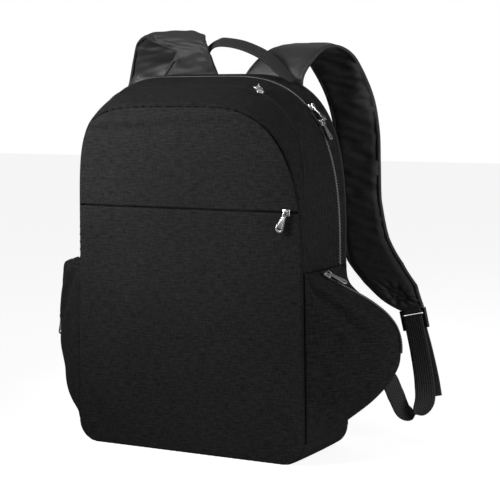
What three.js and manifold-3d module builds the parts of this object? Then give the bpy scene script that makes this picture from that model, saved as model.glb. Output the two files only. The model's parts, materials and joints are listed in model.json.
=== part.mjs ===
// Slim laptop backpack standing on its base: a hollow bag with front pocket, zipped side pockets,
// padded back, grab handle, shoulder straps, ladder locks and webbing.
// Millimetres, +Z up. The front faces -Y and the origin is the middle of the base, on the floor.
import * as THREE from "three";
import { mergeVertices } from "three/addons/utils/BufferGeometryUtils.js";
import Module from "manifold-3d";

const wasm = await Module();
wasm.setup();

// Main sizes of the bag
const bagWidth = 304;
const bagDepth = 125;
const bagHeight = 446;
const springHeight = 223;
const baseFlare = 3.5;
const baseCorner = 26;
const seamHeight = 28;

// Cloth, seams and clearances
const wall = 2;
const gap = 0.3;
const frontBulge = 7;
const frontEdgeRound = 3;
const backPadding = 8;
const backBulge = 4;
const pipingDiameter = 4;

// Zips
const zipWidth = 7;
const coilWidth = 4;
const coilHeight = 1.2;
const mainZipDepth = 103;
const mainZipEndHeight = 223;
const compartmentZipTopDepth = 62;
const compartmentZipEndDepth = 13;
const compartmentZipEndHeight = 306;
const compartmentZipBend = 2.35;
const pocketZipHeight = 291;
const pocketZipMargin = 6;
const pocketSlit = 2.4;
const pocketTape = 1;

// Zip sliders and pulls
const sliderLength = 9;
const sliderWidth = 7.5;
const sliderThickness = 2.6;
const sliderSeatGap = 0.5;
const bailLength = 6;
const bailRise = 3;
const bailBar = 1;
const bailWidth = 1.6;
const pullLength = 24;
const pullEndWidth = 10;
const pullNeckWidth = 5;
const pullThickness = 1.2;
const pullSlotLength = 5.5;
const pullSlotWidth = 1.8;
const pullCrossbar = 1.1;
const runningGap = 0.4;

// Side pockets
const pocketBottom = 26;
const pocketTop = 223;
const pocketBulge = 79;
const pocketSeamInset = 4;
const pocketWall = 2;
const pocketZipLift = 0.8;
const pocketZipTop = 0.975;
const pocketZipEnd = 0.5;
const pocketZipSlope = 0.9;
const pocketFrontRound = 1.6;
const pocketBackRound = 1.25;

// Shoulder straps
const strapWidth = 80;
const strapThickness = 9;
const strapBindingThickness = 3;
const strapFlatShare = 0.8;
const strapWrinkle = 3;
const strapTurnShare = 0.85;

// Webbing, ladder locks and handle
const webbingWidth = 25;
const webbingThickness = 1.8;
const webbingSeamHeight = 85;
const webbingSeamRun = 14;
const webbingLockReach = 2;
const lockWidth = 34;
const lockHeight = 25;
const lockThickness = 5;
const lockBar = 3.6;
const lockTilt = 13;
const handleWidth = 20;
const handleThickness = 2.4;
const handleTilt = 30;

// Places of the zip sliders and the lie of their pulls, in degrees
const mainSliders = [{ height: 404, lift: 8 }, { height: 388, lift: 0 }];
const compartmentSlider = { share: 0.58, turn: -45, lift: 4 };
const frontSlider = { x: 134, turn: -110, lift: 6 };
const rightPocketSlider = { level: 0.965, lift: 3 };
const leftPocketSlider = { level: 0.56, lift: 3 };

// Numbers of facets
const archSteps = 50;
const baseSteps = 16;
const panelRings = [1, 0.975, 0.8, 0.45];
const archDetail = 240;
const baseDetail = 80;
const shoulderSteps = 90;
const cornerSteps = 12;
const turnReach = 150;
const pipingSides = 6;
const frontZipSteps = 12;
const pocketZipSteps = 18;
const strapSteps = 40;
const barSteps = 4;
const webbingSteps = 3;
const handleSteps = 24;

const halfWidth = bagWidth / 2;
const halfDepth = bagDepth / 2;
const frontY = -halfDepth;

// Sections of the bag from front to back: depth is a share of the bag's depth, width of its half width and
// height of its height, crest is the place of the highest point as a share of the half width, and left and
// right say how square each shoulder is.
const bagSections = [
  { depth: 0.0, width: 0.985, height: 0.917, crest: 0.12, left: 6.0, right: 2.75 },
  { depth: 0.03, width: 0.995, height: 0.928, crest: 0.1, left: 6.3, right: 2.75 },
  { depth: 0.3, width: 1.0, height: 0.956, crest: 0.05, left: 8.0, right: 2.8 },
  { depth: 0.6, width: 1.0, height: 0.984, crest: 0.0, left: 9.0, right: 2.8 },
  { depth: 0.79, width: 0.995, height: 1.0, crest: -0.03, left: 8.4, right: 2.8 },
  { depth: 0.86, width: 0.995, height: 1.0, crest: -0.03, left: 8.4, right: 2.85 },
  { depth: 0.93, width: 0.99, height: 1.006, crest: -0.02, left: 8.0, right: 3.2 },
  { depth: 1.0, width: 0.99, height: 1.008, crest: -0.02, left: 7.6, right: 3.4 },
];

// Side pockets from bottom to top: level is a share of their height, bulge of their greatest reach, and
// ridge is the place of that reach as a share of the depth. The right one slants from its zip down to its
// middle, and the left one is boxy with a flat top and bottom.
const rightPocketLevels = [
  { level: 0.0, bulge: 0.04, ridge: 0.4 },
  { level: 0.04, bulge: 0.12, ridge: 0.52 },
  { level: 0.1, bulge: 0.28, ridge: 0.6 },
  { level: 0.17, bulge: 0.49, ridge: 0.64 },
  { level: 0.24, bulge: 0.69, ridge: 0.68 },
  { level: 0.32, bulge: 0.88, ridge: 0.73 },
  { level: 0.42, bulge: 0.98, ridge: 0.77 },
  { level: 0.55, bulge: 1.0, ridge: 0.78 },
  { level: 0.64, bulge: 0.965, ridge: 0.745 },
  { level: 0.71, bulge: 0.9, ridge: 0.68 },
  { level: 0.78, bulge: 0.79, ridge: 0.57 },
  { level: 0.84, bulge: 0.65, ridge: 0.44 },
  { level: 0.9, bulge: 0.45, ridge: 0.31 },
  { level: 0.95, bulge: 0.23, ridge: 0.23 },
  { level: 1.0, bulge: 0.04, ridge: 0.18 },
];
const leftPocketLevels = [
  { level: 0.0, bulge: 0.04, ridge: 0.5 },
  { level: 0.03, bulge: 0.46, ridge: 0.5 },
  { level: 0.1, bulge: 0.68, ridge: 0.56 },
  { level: 0.2, bulge: 0.85, ridge: 0.64 },
  { level: 0.32, bulge: 0.96, ridge: 0.7 },
  { level: 0.45, bulge: 1.02, ridge: 0.74 },
  { level: 0.6, bulge: 1.02, ridge: 0.74 },
  { level: 0.72, bulge: 0.98, ridge: 0.7 },
  { level: 0.84, bulge: 0.9, ridge: 0.63 },
  { level: 0.93, bulge: 0.8, ridge: 0.54 },
  { level: 0.975, bulge: 0.68, ridge: 0.48 },
  { level: 1.0, bulge: 0.04, ridge: 0.45 },
];
const pocketColumns = 16;
const ridgeColumn = 10;

// Folds pressed into the side pockets: ends as shares of the way round the pocket and of its height, rise
// (a ridge) or fall (a valley) as a share of the wall, and spread as a share of the way round.
const pocketFolds = [
  { aroundA: 0.08, levelA: 0.97, aroundB: 0.34, levelB: 0.62, rise: -2.2, spread: 0.07 },
  { aroundA: 0.22, levelA: 0.93, aroundB: 0.48, levelB: 0.6, rise: 1.6, spread: 0.07 },
  { aroundA: 0.45, levelA: 0.2, aroundB: 0.7, levelB: 0.4, rise: -1.5, spread: 0.09 },
];

// Straps, from the root on the back panel over the top and down: across is a share of half the bag's width,
// back is how far the strap stands off its seat on the back panel as a share of the bag's depth, up is a
// share of its height, width of the strap's, thick of its thickness, and wrinkle of the wrinkles' depth.
const rightStrapRoute = [
  { across: 0.32, back: 0, up: 0.95, width: 1.0, thick: 0.55, wrinkle: 0 },
  { across: 0.325, back: 0.003, up: 0.998, width: 1.0, thick: 0.8, wrinkle: 0 },
  { across: 0.385, back: 0.078, up: 1.042, width: 0.96, thick: 1, wrinkle: 0 },
  { across: 0.46, back: 0.198, up: 1.075, width: 0.9, thick: 1, wrinkle: 0 },
  { across: 0.53, back: 0.348, up: 1.082, width: 0.86, thick: 1, wrinkle: 0.3 },
  { across: 0.61, back: 0.488, up: 1.06, width: 0.85, thick: 1, wrinkle: 0.6 },
  { across: 0.68, back: 0.558, up: 1.015, width: 0.84, thick: 1, wrinkle: 0.6 },
  { across: 0.78, back: 0.578, up: 0.94, width: 0.8, thick: 1, wrinkle: 0.4 },
  { across: 0.84, back: 0.578, up: 0.85, width: 0.76, thick: 1, wrinkle: 0 },
  { across: 0.865, back: 0.568, up: 0.765, width: 0.72, thick: 1, wrinkle: 0 },
  { across: 0.89, back: 0.558, up: 0.66, width: 0.68, thick: 1, wrinkle: 0 },
  { across: 0.94, back: 0.558, up: 0.555, width: 0.76, thick: 1, wrinkle: 0 },
  { across: 1.02, back: 0.558, up: 0.487, width: 0.93, thick: 1, wrinkle: 0 },
  { across: 1.155, back: 0.56, up: 0.428, width: 0.88, thick: 0.95, wrinkle: 0 },
  { across: 1.25, back: 0.565, up: 0.39, width: 0.64, thick: 0.8, wrinkle: 0 },
  { across: 1.35, back: 0.574, up: 0.362, width: 0.38, thick: 0.55, wrinkle: 0 },
];
const leftStrapRoute = [
  { across: 0.45, back: 0, up: 0.95, width: 1.04, thick: 0.55, wrinkle: 0 },
  { across: 0.45, back: 0.003, up: 0.998, width: 1.02, thick: 0.8, wrinkle: 0 },
  { across: 0.42, back: -0.042, up: 1.035, width: 0.785, thick: 1, wrinkle: 0 },
  { across: 0.4, back: -0.072, up: 1.068, width: 0.57, thick: 1, wrinkle: 0 },
  { across: 0.542, back: -0.022, up: 1.098, width: 0.94, thick: 1, wrinkle: 0 },
  { across: 0.646, back: 0.108, up: 1.115, width: 1.075, thick: 1, wrinkle: 0 },
  { across: 0.76, back: 0.258, up: 1.119, width: 1.02, thick: 1, wrinkle: 0.3 },
  { across: 0.92, back: 0.4, up: 1.102, width: 0.98, thick: 1, wrinkle: 1 },
  { across: 1.03, back: 0.508, up: 1.055, width: 0.92, thick: 1, wrinkle: 1 },
  { across: 1.11, back: 0.558, up: 0.99, width: 0.87, thick: 1, wrinkle: 0.8 },
  { across: 1.19, back: 0.568, up: 0.91, width: 0.82, thick: 1, wrinkle: 0.3 },
  { across: 1.25, back: 0.568, up: 0.8, width: 0.75, thick: 1, wrinkle: 0 },
  { across: 1.28, back: 0.558, up: 0.67, width: 0.7, thick: 1, wrinkle: 0 },
  { across: 1.3, back: 0.558, up: 0.54, width: 0.7, thick: 1, wrinkle: 0 },
  { across: 1.32, back: 0.562, up: 0.44, width: 0.68, thick: 0.9, wrinkle: 0 },
  { across: 1.33, back: 0.565, up: 0.395, width: 0.56, thick: 0.8, wrinkle: 0 },
  { across: 1.35, back: 0.574, up: 0.362, width: 0.38, thick: 0.55, wrinkle: 0 },
];

// Webbing below a ladder lock, from the lock down, round its loop and up towards the bag's seam: across is
// a share of half the bag's width, back of its depth behind the middle, up of its height, turn is the angle
// of the webbing's width from the crosswise direction and rise its angle from level, in degrees.
const webbingRoute = [
  { across: 1.425, back: 1.07, up: 0.25, turn: 0, rise: 0 },
  { across: 1.47, back: 1.07, up: 0.165, turn: 10, rise: 0 },
  { across: 1.475, back: 1.06, up: 0.105, turn: 35, rise: 0 },
  { across: 1.41, back: 1.04, up: 0.072, turn: 60, rise: 8 },
  { across: 1.325, back: 1.0, up: 0.078, turn: 72, rise: 20 },
  { across: 1.265, back: 0.95, up: 0.125, turn: 64, rise: 28 },
  { across: 1.22, back: 0.87, up: 0.172, turn: 64, rise: 38 },
  { across: 1.12, back: 0.68, up: 0.198, turn: 60, rise: 70 },
];
const webbingTail = [
  { across: 1.435, back: 1.135, up: 0.25, turn: 0, rise: 0 },
  { across: 1.49, back: 1.14, up: 0.17, turn: 5, rise: 0 },
  { across: 1.52, back: 1.13, up: 0.12, turn: 8, rise: 0 },
];

// Grab handle from its right root to its left one, in the same shares: turn swings the band's width from
// the depth to the crosswise direction, in degrees. A row with onTop 1 lies up above the bag's top, and one
// with onStrap 1 lies back from the left strap's root.
const handleRoute = [
  { across: 0.56, back: 0.42, up: 0, turn: 0, onTop: 1, onStrap: 0 },
  { across: 0.5, back: 0.42, up: 0.002, turn: 0, onTop: 1, onStrap: 0 },
  { across: 0.43, back: 0.42, up: 1.016, turn: 0, onTop: 0, onStrap: 0 },
  { across: 0.34, back: 0.42, up: 1.045, turn: 0, onTop: 0, onStrap: 0 },
  { across: 0.22, back: 0.42, up: 1.068, turn: 0, onTop: 0, onStrap: 0 },
  { across: 0.07, back: 0.42, up: 1.086, turn: 0, onTop: 0, onStrap: 0 },
  { across: -0.1, back: 0.46, up: 1.094, turn: 0, onTop: 0, onStrap: 0 },
  { across: -0.24, back: 0.57, up: 1.088, turn: 12, onTop: 0, onStrap: 0 },
  { across: -0.34, back: 0.63, up: 1.065, turn: 40, onTop: 0, onStrap: 0 },
  { across: -0.39, back: 0.61, up: 1.035, turn: 70, onTop: 0, onStrap: 0 },
  { across: -0.4, back: 0.007, up: 1.0, turn: 90, onTop: 0, onStrap: 1 },
  { across: -0.4, back: 0.005, up: 0.965, turn: 90, onTop: 0, onStrap: 1 },
];

// Looks of the solids
const cloth = new THREE.MeshStandardMaterial({ name: "woven cloth", color: 0x1c1c1e, roughness: 0.85 });
const padding = new THREE.MeshStandardMaterial({ name: "padded cloth", color: 0x242426, roughness: 0.6 });
const webbing = new THREE.MeshStandardMaterial({ name: "webbing", color: 0x161617, roughness: 0.7 });
const tape = new THREE.MeshStandardMaterial({ name: "zip tape", color: 0x2c2c2e, roughness: 0.6 });
const plastic = new THREE.MeshStandardMaterial({ name: "black plastic", color: 0x0b0b0c, roughness: 0.45 });
const metal = new THREE.MeshStandardMaterial({
  name: "bright metal", color: 0xc9cacc, roughness: 0.25, metalness: 1,
});

const bag = new THREE.Group();

// Adds one named solid to the bag.
function add(name, geometry, material) {
  const mesh = new THREE.Mesh(geometry, material);
  mesh.name = name;
  bag.add(mesh);
  return mesh;
}

// Row of a table at a share between its rows, with every column in between.
function rowAt(rows, column, value) {
  const last = rows.length - 1;
  let i = 0;
  while (i < last - 1 && rows[i + 1][column] < value) i += 1;
  const a = rows[i];
  const b = rows[i + 1];
  const t = THREE.MathUtils.clamp((value - a[column]) / (b[column] - a[column]), 0, 1);
  const row = {};
  for (const key of Object.keys(a)) row[key] = THREE.MathUtils.lerp(a[key], b[key], t);
  return row;
}

// Points of a line spread evenly along its length.
function resample(points, count) {
  const lengths = [0];
  for (let i = 1; i < points.length; i += 1) {
    lengths.push(lengths[i - 1] + points[i].distanceTo(points[i - 1]));
  }
  const total = lengths[lengths.length - 1];
  const spread = [];
  let j = 1;
  for (let i = 0; i <= count; i += 1) {
    const wanted = (total * i) / count;
    while (j < points.length - 1 && lengths[j] < wanted) j += 1;
    const span = lengths[j] - lengths[j - 1];
    const t = span > 0 ? (wanted - lengths[j - 1]) / span : 0;
    spread.push(points[j - 1].clone().lerp(points[j], THREE.MathUtils.clamp(t, 0, 1)));
  }
  return spread;
}

const outlineCache = new Map();

// Half width of a section at a height on its straight lower side.
function sideReach(section, height) {
  const rise = THREE.MathUtils.clamp(height / springHeight, 0, 1);
  return section.width * halfWidth + baseFlare * (1 - rise);
}

// One shoulder from the spring height to the crest, as a squared quarter oval.
function shoulder(section, side, squareness) {
  const crestX = section.crest * halfWidth;
  const reach = section.width * halfWidth - side * crestX;
  const rise = section.height * bagHeight - springHeight;
  const points = [];
  for (let i = 0; i <= shoulderSteps; i += 1) {
    const angle = (Math.PI / 2) * (i / shoulderSteps);
    const x = crestX + side * reach * Math.cos(angle) ** (2 / squareness);
    const z = springHeight + rise * Math.sin(angle) ** (2 / squareness);
    points.push(new THREE.Vector2(x, z));
  }
  return points;
}

// Outline of the bag at a depth from its front: the arch from the left base seam over the top to the right
// one, and the base from the right seam under the bag to the left one.
function outlineAt(depth) {
  const key = depth.toFixed(3);
  if (outlineCache.has(key)) return outlineCache.get(key);
  const section = rowAt(bagSections, "depth", depth / bagDepth);
  const left = shoulder(section, -1, section.left);
  const right = shoulder(section, 1, section.right).reverse();
  const arch = [new THREE.Vector2(-sideReach(section, seamHeight), seamHeight)];
  arch.push(...left, ...right, new THREE.Vector2(sideReach(section, seamHeight), seamHeight));
  const base = [new THREE.Vector2(sideReach(section, seamHeight), seamHeight)];
  const reach = sideReach(section, baseCorner);
  for (const side of [1, -1]) {
    for (let i = 0; i <= cornerSteps; i += 1) {
      const turn = (Math.PI / 2) * (side > 0 ? i / cornerSteps : 1 - i / cornerSteps);
      const x = side * (reach - baseCorner + baseCorner * Math.cos(turn));
      base.push(new THREE.Vector2(x, baseCorner - baseCorner * Math.sin(turn)));
    }
  }
  base.push(new THREE.Vector2(-sideReach(section, seamHeight), seamHeight));
  const outline = { arch: resample(arch, archDetail), base: resample(base, baseDetail) };
  outlineCache.set(key, outline);
  return outline;
}

// Point of the bag's skin: share runs along the arch or the base, depth is from the front, inset inwards.
function skinPoint(part, share, depth, inset) {
  const points = outlineAt(depth)[part];
  const last = points.length - 1;
  const place = THREE.MathUtils.clamp(share, 0, 1) * last;
  const i = Math.min(Math.floor(place), last - 1);
  const here = points[i].clone().lerp(points[i + 1], place - i);
  const before = points[Math.max(i - 1, 0)];
  const after = points[Math.min(i + 2, last)];
  const along = after.clone().sub(before).normalize();
  const x = here.x + along.y * inset;
  const z = here.y - along.x * inset;
  return new THREE.Vector3(x, frontY + depth, z);
}

// Outward direction of the skin in its section at a share of the arch.
function skinNormal(share, depth) {
  const outer = skinPoint("arch", share, depth, 0);
  const inner = skinPoint("arch", share, depth, 1);
  return outer.sub(inner).normalize();
}

// Share of the arch at a height on one side.
function archShareAtHeight(height, side, depth) {
  const points = outlineAt(depth).arch;
  const last = points.length - 1;
  for (let i = 0; i <= last / 2; i += 1) {
    const index = side < 0 ? i : last - i;
    if (points[index].y >= height) return index / last;
  }
  return 0.5;
}

// Shares of the arch or base between two ends, close together where the outline turns.
function stations(part, steps, from = 0, to = 1) {
  const points = outlineAt(mainZipDepth)[part];
  const measures = [0];
  for (let i = 1; i < points.length; i += 1) {
    const step = points[i].clone().sub(points[i - 1]);
    const next = points[Math.min(i + 1, points.length - 1)].clone().sub(points[i]);
    const turn = i < points.length - 1 ? Math.abs(step.angleTo(next)) : 0;
    measures.push(measures[i - 1] + step.length() + turnReach * turn);
  }
  const total = measures[measures.length - 1];
  const shares = [];
  let j = 1;
  for (let i = 0; i <= steps; i += 1) {
    const wanted = (total * i) / steps;
    while (j < points.length - 1 && measures[j] < wanted) j += 1;
    const t = (wanted - measures[j - 1]) / (measures[j] - measures[j - 1]);
    shares.push((j - 1 + t) / (points.length - 1));
  }
  const margin = 0.2 / steps;
  return [from, ...shares.filter((share) => share > from + margin && share < to - margin), to];
}

// Distance from the middle plane to the skin's side at a height.
function sideX(height, depth, side) {
  const section = rowAt(bagSections, "depth", depth / bagDepth);
  if (height <= springHeight) return sideReach(section, height);
  const share = archShareAtHeight(height, side, depth);
  return Math.abs(skinPoint("arch", share, depth, 0).x);
}

// Height of the bag's top at a place across it and behind the middle.
function topHeight(x, y) {
  const points = outlineAt(y - frontY).arch;
  let i = points.findIndex((p) => p.y > springHeight);
  while (i < points.length - 2 && points[i + 1].x < x) i += 1;
  const t = (x - points[i].x) / (points[i + 1].x - points[i].x);
  return THREE.MathUtils.lerp(points[i].y, points[i + 1].y, t);
}

// Closed solid from an outer and an inner grid of points that share their counts, with a rim all round.
function shellSolid(outer, inner) {
  const rows = outer.length;
  const columns = outer[0].length;
  const points = [...outer.flat(), ...inner.flat()];
  const half = rows * columns;
  const index = [];
  const quad = (a, b, c, d) => index.push(a, b, c, a, c, d);
  const at = (i, j) => i * columns + j;
  for (let i = 0; i < rows - 1; i += 1) {
    for (let j = 0; j < columns - 1; j += 1) {
      quad(at(i, j), at(i + 1, j), at(i + 1, j + 1), at(i, j + 1));
      quad(half + at(i, j), half + at(i, j + 1), half + at(i + 1, j + 1), half + at(i + 1, j));
    }
  }
  for (let i = 0; i < rows - 1; i += 1) {
    const end = columns - 1;
    quad(at(i, 0), half + at(i, 0), half + at(i + 1, 0), at(i + 1, 0));
    quad(at(i, end), at(i + 1, end), half + at(i + 1, end), half + at(i, end));
  }
  for (let j = 0; j < columns - 1; j += 1) {
    const end = rows - 1;
    quad(at(0, j), at(0, j + 1), half + at(0, j + 1), half + at(0, j));
    quad(at(end, j), half + at(end, j), half + at(end, j + 1), at(end, j + 1));
  }
  return facesOutward(solidFrom(points, index));
}

// Closed solid lofted through rings of points, with fans over both ends, or joined round when closed.
function loftSolid(rings, closed = false) {
  const sides = rings[0].length;
  const points = rings.flat();
  const index = [];
  const count = closed ? rings.length : rings.length - 1;
  for (let i = 0; i < count; i += 1) {
    const next = (i + 1) % rings.length;
    for (let j = 0; j < sides; j += 1) {
      const k = (j + 1) % sides;
      index.push(i * sides + j, next * sides + j, next * sides + k);
      index.push(i * sides + j, next * sides + k, i * sides + k);
    }
  }
  if (!closed) {
    for (const end of [0, rings.length - 1]) {
      const middle = new THREE.Vector3();
      rings[end].forEach((p) => middle.add(p));
      points.push(middle.divideScalar(sides));
      const centre = points.length - 1;
      for (let j = 0; j < sides; j += 1) {
        const k = (j + 1) % sides;
        const a = end * sides + j;
        const b = end * sides + k;
        index.push(...(end === 0 ? [centre, a, b] : [centre, b, a]));
      }
    }
  }
  return facesOutward(solidFrom(points, index));
}

// Geometry from points and triangles.
function solidFrom(points, index) {
  const geometry = new THREE.BufferGeometry();
  const numbers = points.flatMap((p) => [p.x, p.y, p.z]);
  geometry.setAttribute("position", new THREE.Float32BufferAttribute(numbers, 3));
  geometry.setIndex(index);
  return geometry;
}

// Turns every triangle over when the solid's volume comes out negative.
function facesOutward(geometry) {
  const position = geometry.getAttribute("position");
  const index = Array.from(geometry.getIndex().array);
  const a = new THREE.Vector3();
  const b = new THREE.Vector3();
  const c = new THREE.Vector3();
  let volume = 0;
  for (let i = 0; i < index.length; i += 3) {
    a.fromBufferAttribute(position, index[i]);
    b.fromBufferAttribute(position, index[i + 1]);
    c.fromBufferAttribute(position, index[i + 2]);
    volume += a.dot(b.cross(c));
  }
  if (volume < 0) {
    for (let i = 0; i < index.length; i += 3) {
      [index[i + 1], index[i + 2]] = [index[i + 2], index[i + 1]];
    }
    geometry.setIndex(index);
  }
  geometry.computeVertexNormals();
  return geometry;
}

// Solid for a boolean join or cut.
function toSolid(geometry) {
  const bare = geometry.clone();
  bare.deleteAttribute("normal");
  bare.deleteAttribute("uv");
  const merged = mergeVertices(bare, 1e-4);
  return new wasm.Manifold(new wasm.Mesh({
    numProp: 3,
    vertProperties: new Float32Array(merged.getAttribute("position").array),
    triVerts: new Uint32Array(merged.getIndex().array),
  }));
}

// Geometry of a solid after its joins and cuts.
function toGeometry(solid) {
  const mesh = solid.getMesh();
  const geometry = new THREE.BufferGeometry();
  geometry.setAttribute("position", new THREE.Float32BufferAttribute(mesh.vertProperties, 3));
  geometry.setIndex(Array.from(mesh.triVerts));
  geometry.computeVertexNormals();
  return geometry;
}

// Plate with a front and a back surface inside a closed outline, in rings round its middle.
function plateSolid(outline, middle, frontAt, backAt) {
  const sides = outline.length;
  const points = [];
  const place = (p, ring) => new THREE.Vector2(
    THREE.MathUtils.lerp(middle.x, p.x, ring), THREE.MathUtils.lerp(middle.y, p.y, ring));
  for (const surface of [frontAt, backAt]) {
    for (const ring of panelRings) {
      outline.forEach((p) => {
        const q = place(p, ring);
        points.push(new THREE.Vector3(q.x, surface(q, ring), q.y));
      });
    }
    points.push(new THREE.Vector3(middle.x, surface(middle, 0), middle.y));
  }
  const rings = panelRings.length;
  const half = rings * sides + 1;
  const index = [];
  for (let j = 0; j < sides; j += 1) {
    const k = (j + 1) % sides;
    for (let r = 0; r < rings - 1; r += 1) {
      const a = r * sides + j;
      const b = r * sides + k;
      const c = (r + 1) * sides + k;
      const d = (r + 1) * sides + j;
      index.push(a, b, c, a, c, d);
      index.push(half + a, half + c, half + b, half + a, half + d, half + c);
    }
    const inner = (rings - 1) * sides;
    index.push(inner + j, inner + k, half - 1);
    index.push(half + inner + j, half + half - 1, half + inner + k);
    index.push(j, half + j, half + k, j, half + k, k);
  }
  return facesOutward(solidFrom(points, index));
}

// Closed outline of the whole section at a depth, drawn inwards by an inset.
function closedOutline(depth, inset) {
  const run = (part, steps) => stations(part, steps).slice(0, -1)
    .map((share) => skinPoint(part, share, depth, inset));
  const points = [...run("arch", archSteps), ...run("base", baseSteps)];
  return points.map((p) => new THREE.Vector2(p.x, p.z));
}

// Front face of the bag at a place: it bulges towards the middle and its edge is rounded back.
function frontFace(place, ring) {
  const across = place.x / halfWidth;
  const up = (place.y - bagHeight / 2) / (bagHeight / 2);
  const swell = Math.max(0, 1 - across ** 4) * Math.max(0, 1 - up ** 4);
  const edge = ring === 1 ? frontEdgeRound / 2 : 0;
  return frontY - frontBulge * swell + edge;
}

// Back panel's swell at a ring round its middle.
function backFace(ring) {
  return halfDepth + backBulge * (1 - ring ** 2) - gap;
}

// The two front panels, above and below the front pocket's zip.
function addFrontPanels() {
  const outline = closedOutline(0, 0);
  const halfSlit = pocketSlit / 2;
  const parts = [
    { name: "front_panel", low: pocketZipHeight + halfSlit, high: Infinity },
    { name: "front_pocket_panel", low: -Infinity, high: pocketZipHeight - halfSlit },
  ];
  for (const part of parts) {
    const kept = clipOutline(outline, part.low, part.high);
    const top = Math.max(...kept.map((p) => p.y));
    const bottom = Math.min(...kept.map((p) => p.y));
    const middle = new THREE.Vector2(0, (top + bottom) / 2);
    const seam = frontY + frontEdgeRound - gap;
    const sewn = (place, ring) => ring === 1 && Math.abs(place.y - pocketZipHeight) > pocketSlit;
    const back = (place, ring) => (sewn(place, ring) ? seam : Math.min(frontFace(place, 0) + wall, seam));
    const front = (place, ring) => Math.min(frontFace(place, ring), back(place, ring) - wall / 2);
    add(part.name, plateSolid(kept, middle, front, back), cloth);
  }
}

// Part of a closed outline between two heights, with its cut edges divided.
function clipOutline(outline, low, high) {
  const kept = [];
  const count = outline.length;
  for (let i = 0; i < count; i += 1) {
    const a = outline[i];
    const b = outline[(i + 1) % count];
    const inside = a.y >= low && a.y <= high;
    if (inside) kept.push(a);
    for (const cut of [low, high]) {
      if ((a.y - cut) * (b.y - cut) < 0) {
        const t = (cut - a.y) / (b.y - a.y);
        kept.push(a.clone().lerp(b, t));
      }
    }
  }
  const divided = [];
  kept.forEach((a, i) => {
    const b = kept[(i + 1) % kept.length];
    divided.push(a);
    const pieces = Math.floor(a.distanceTo(b) / (bagWidth / 12));
    for (let k = 1; k < pieces; k += 1) divided.push(a.clone().lerp(b, k / pieces));
  });
  return divided;
}

// Band of the bag's skin between two depths, along the arch or the base.
function skinBand(part, shares, frontDepth, backDepth, rows, thickness) {
  const outer = [];
  const inner = [];
  for (const share of shares) {
    const from = frontDepth(share);
    const to = backDepth(share);
    const outerRow = [];
    const innerRow = [];
    for (const row of rows) {
      const depth = THREE.MathUtils.lerp(from, to, row);
      outerRow.push(skinPoint(part, share, depth, 0));
      innerRow.push(skinPoint(part, share, depth, thickness));
    }
    outer.push(outerRow);
    inner.push(innerRow);
  }
  return shellSolid(outer, inner);
}

const gussetFront = frontEdgeRound;
const gussetBack = bagDepth - pipingDiameter - gap;
const rightZipShare = archShareAtHeight(mainZipEndHeight, 1, mainZipDepth);
const leftZipShare = archShareAtHeight(mainZipEndHeight, -1, mainZipDepth);

// Half the opening that the gussets leave for the main zip at a share of the arch.
function zipOpening(share) {
  const step = 2 / archSteps;
  const open = share > leftZipShare - step && share < rightZipShare + step;
  return open ? zipWidth / 2 + gap : gap / 2;
}

// The gussets round the sides and top, and the base under the bag.
function addGussets() {
  const front = () => gussetFront;
  const seam = (share) => mainZipDepth - zipOpening(share);
  const seamBack = (share) => mainZipDepth + zipOpening(share);
  const back = () => gussetBack;
  const shares = stations("arch", archSteps);
  add("front_gusset", skinBand("arch", shares, front, seam, [0, 0.3, 0.6, 1], wall), cloth);
  add("rear_gusset", skinBand("arch", shares, seamBack, back, [0, 0.5, 1], wall), cloth);
}

// Base panel: a flat floor with both lower corners turned up to the gussets' seam.
function addBase() {
  const cut = gap / bagWidth;
  const shares = stations("base", baseSteps, cut, 1 - cut);
  add("base_panel", skinBand("base", shares, () => gussetFront, () => gussetBack, [0, 0.5, 1], wall), cloth);
}

// Padded back panel inside the piping, swelling towards the wearer.
function addBackPanel() {
  const inset = pipingDiameter + gap;
  const outline = closedOutline(bagDepth - backPadding, inset);
  const middle = new THREE.Vector2(0, bagHeight / 2);
  const front = () => halfDepth - backPadding;
  const back = (place, ring) => (ring === 1 ? halfDepth - backPadding / 2 : backFace(ring));
  add("back_panel", plateSolid(outline, middle, front, back), padding);
}

// Piping round the back edge, a closed ring.
function addPiping() {
  const radius = pipingDiameter / 2;
  const centres = closedOutline(bagDepth - radius, radius);
  const count = centres.length;
  const rings = centres.map((p, i) => {
    const along = centres[(i + 1) % count].clone().sub(centres[(i + count - 1) % count]).normalize();
    const outward = new THREE.Vector2(-along.y, along.x);
    const ring = [];
    for (let k = 0; k < pipingSides; k += 1) {
      const angle = (2 * Math.PI * k) / pipingSides;
      const out = radius * Math.cos(angle);
      ring.push(new THREE.Vector3(
        p.x + outward.x * out, halfDepth - radius + radius * Math.sin(angle), p.y + outward.y * out));
    }
    return ring;
  });
  add("back_piping", loftSolid(rings, true), cloth);
}

// Cross-section of a zip with its raised coil: across the tape and out of it.
function zipProfile(width, thickness) {
  return [
    [-width / 2, 0], [-coilWidth / 2, 0], [-coilWidth / 4, coilHeight], [coilWidth / 4, coilHeight],
    [coilWidth / 2, 0], [width / 2, 0], [width / 2, -thickness], [-width / 2, -thickness],
  ];
}

// Zip along the arch: depth gives its place at each share, lift raises it off the skin.
function archZip(from, to, depthAt, lift, thickness) {
  const profile = zipProfile(zipWidth, thickness);
  const rings = stations("arch", archSteps, from, to).map((share) => profile.map(
    ([across, out]) => skinPoint("arch", share, depthAt(share) + across, -lift - out)));
  return loftSolid(rings);
}

// Depth of the front compartment's zip at a share of the arch: level over the top, forward down the sides.
function compartmentDepth(share) {
  const right = archShareAtHeight(compartmentZipEndHeight, 1, compartmentZipEndDepth);
  const left = archShareAtHeight(compartmentZipEndHeight, -1, compartmentZipEndDepth);
  const middle = (left + right) / 2;
  const t = Math.min(Math.abs(share - middle) / (right - middle), 1);
  return THREE.MathUtils.lerp(compartmentZipTopDepth, compartmentZipEndDepth, t ** compartmentZipBend);
}

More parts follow.
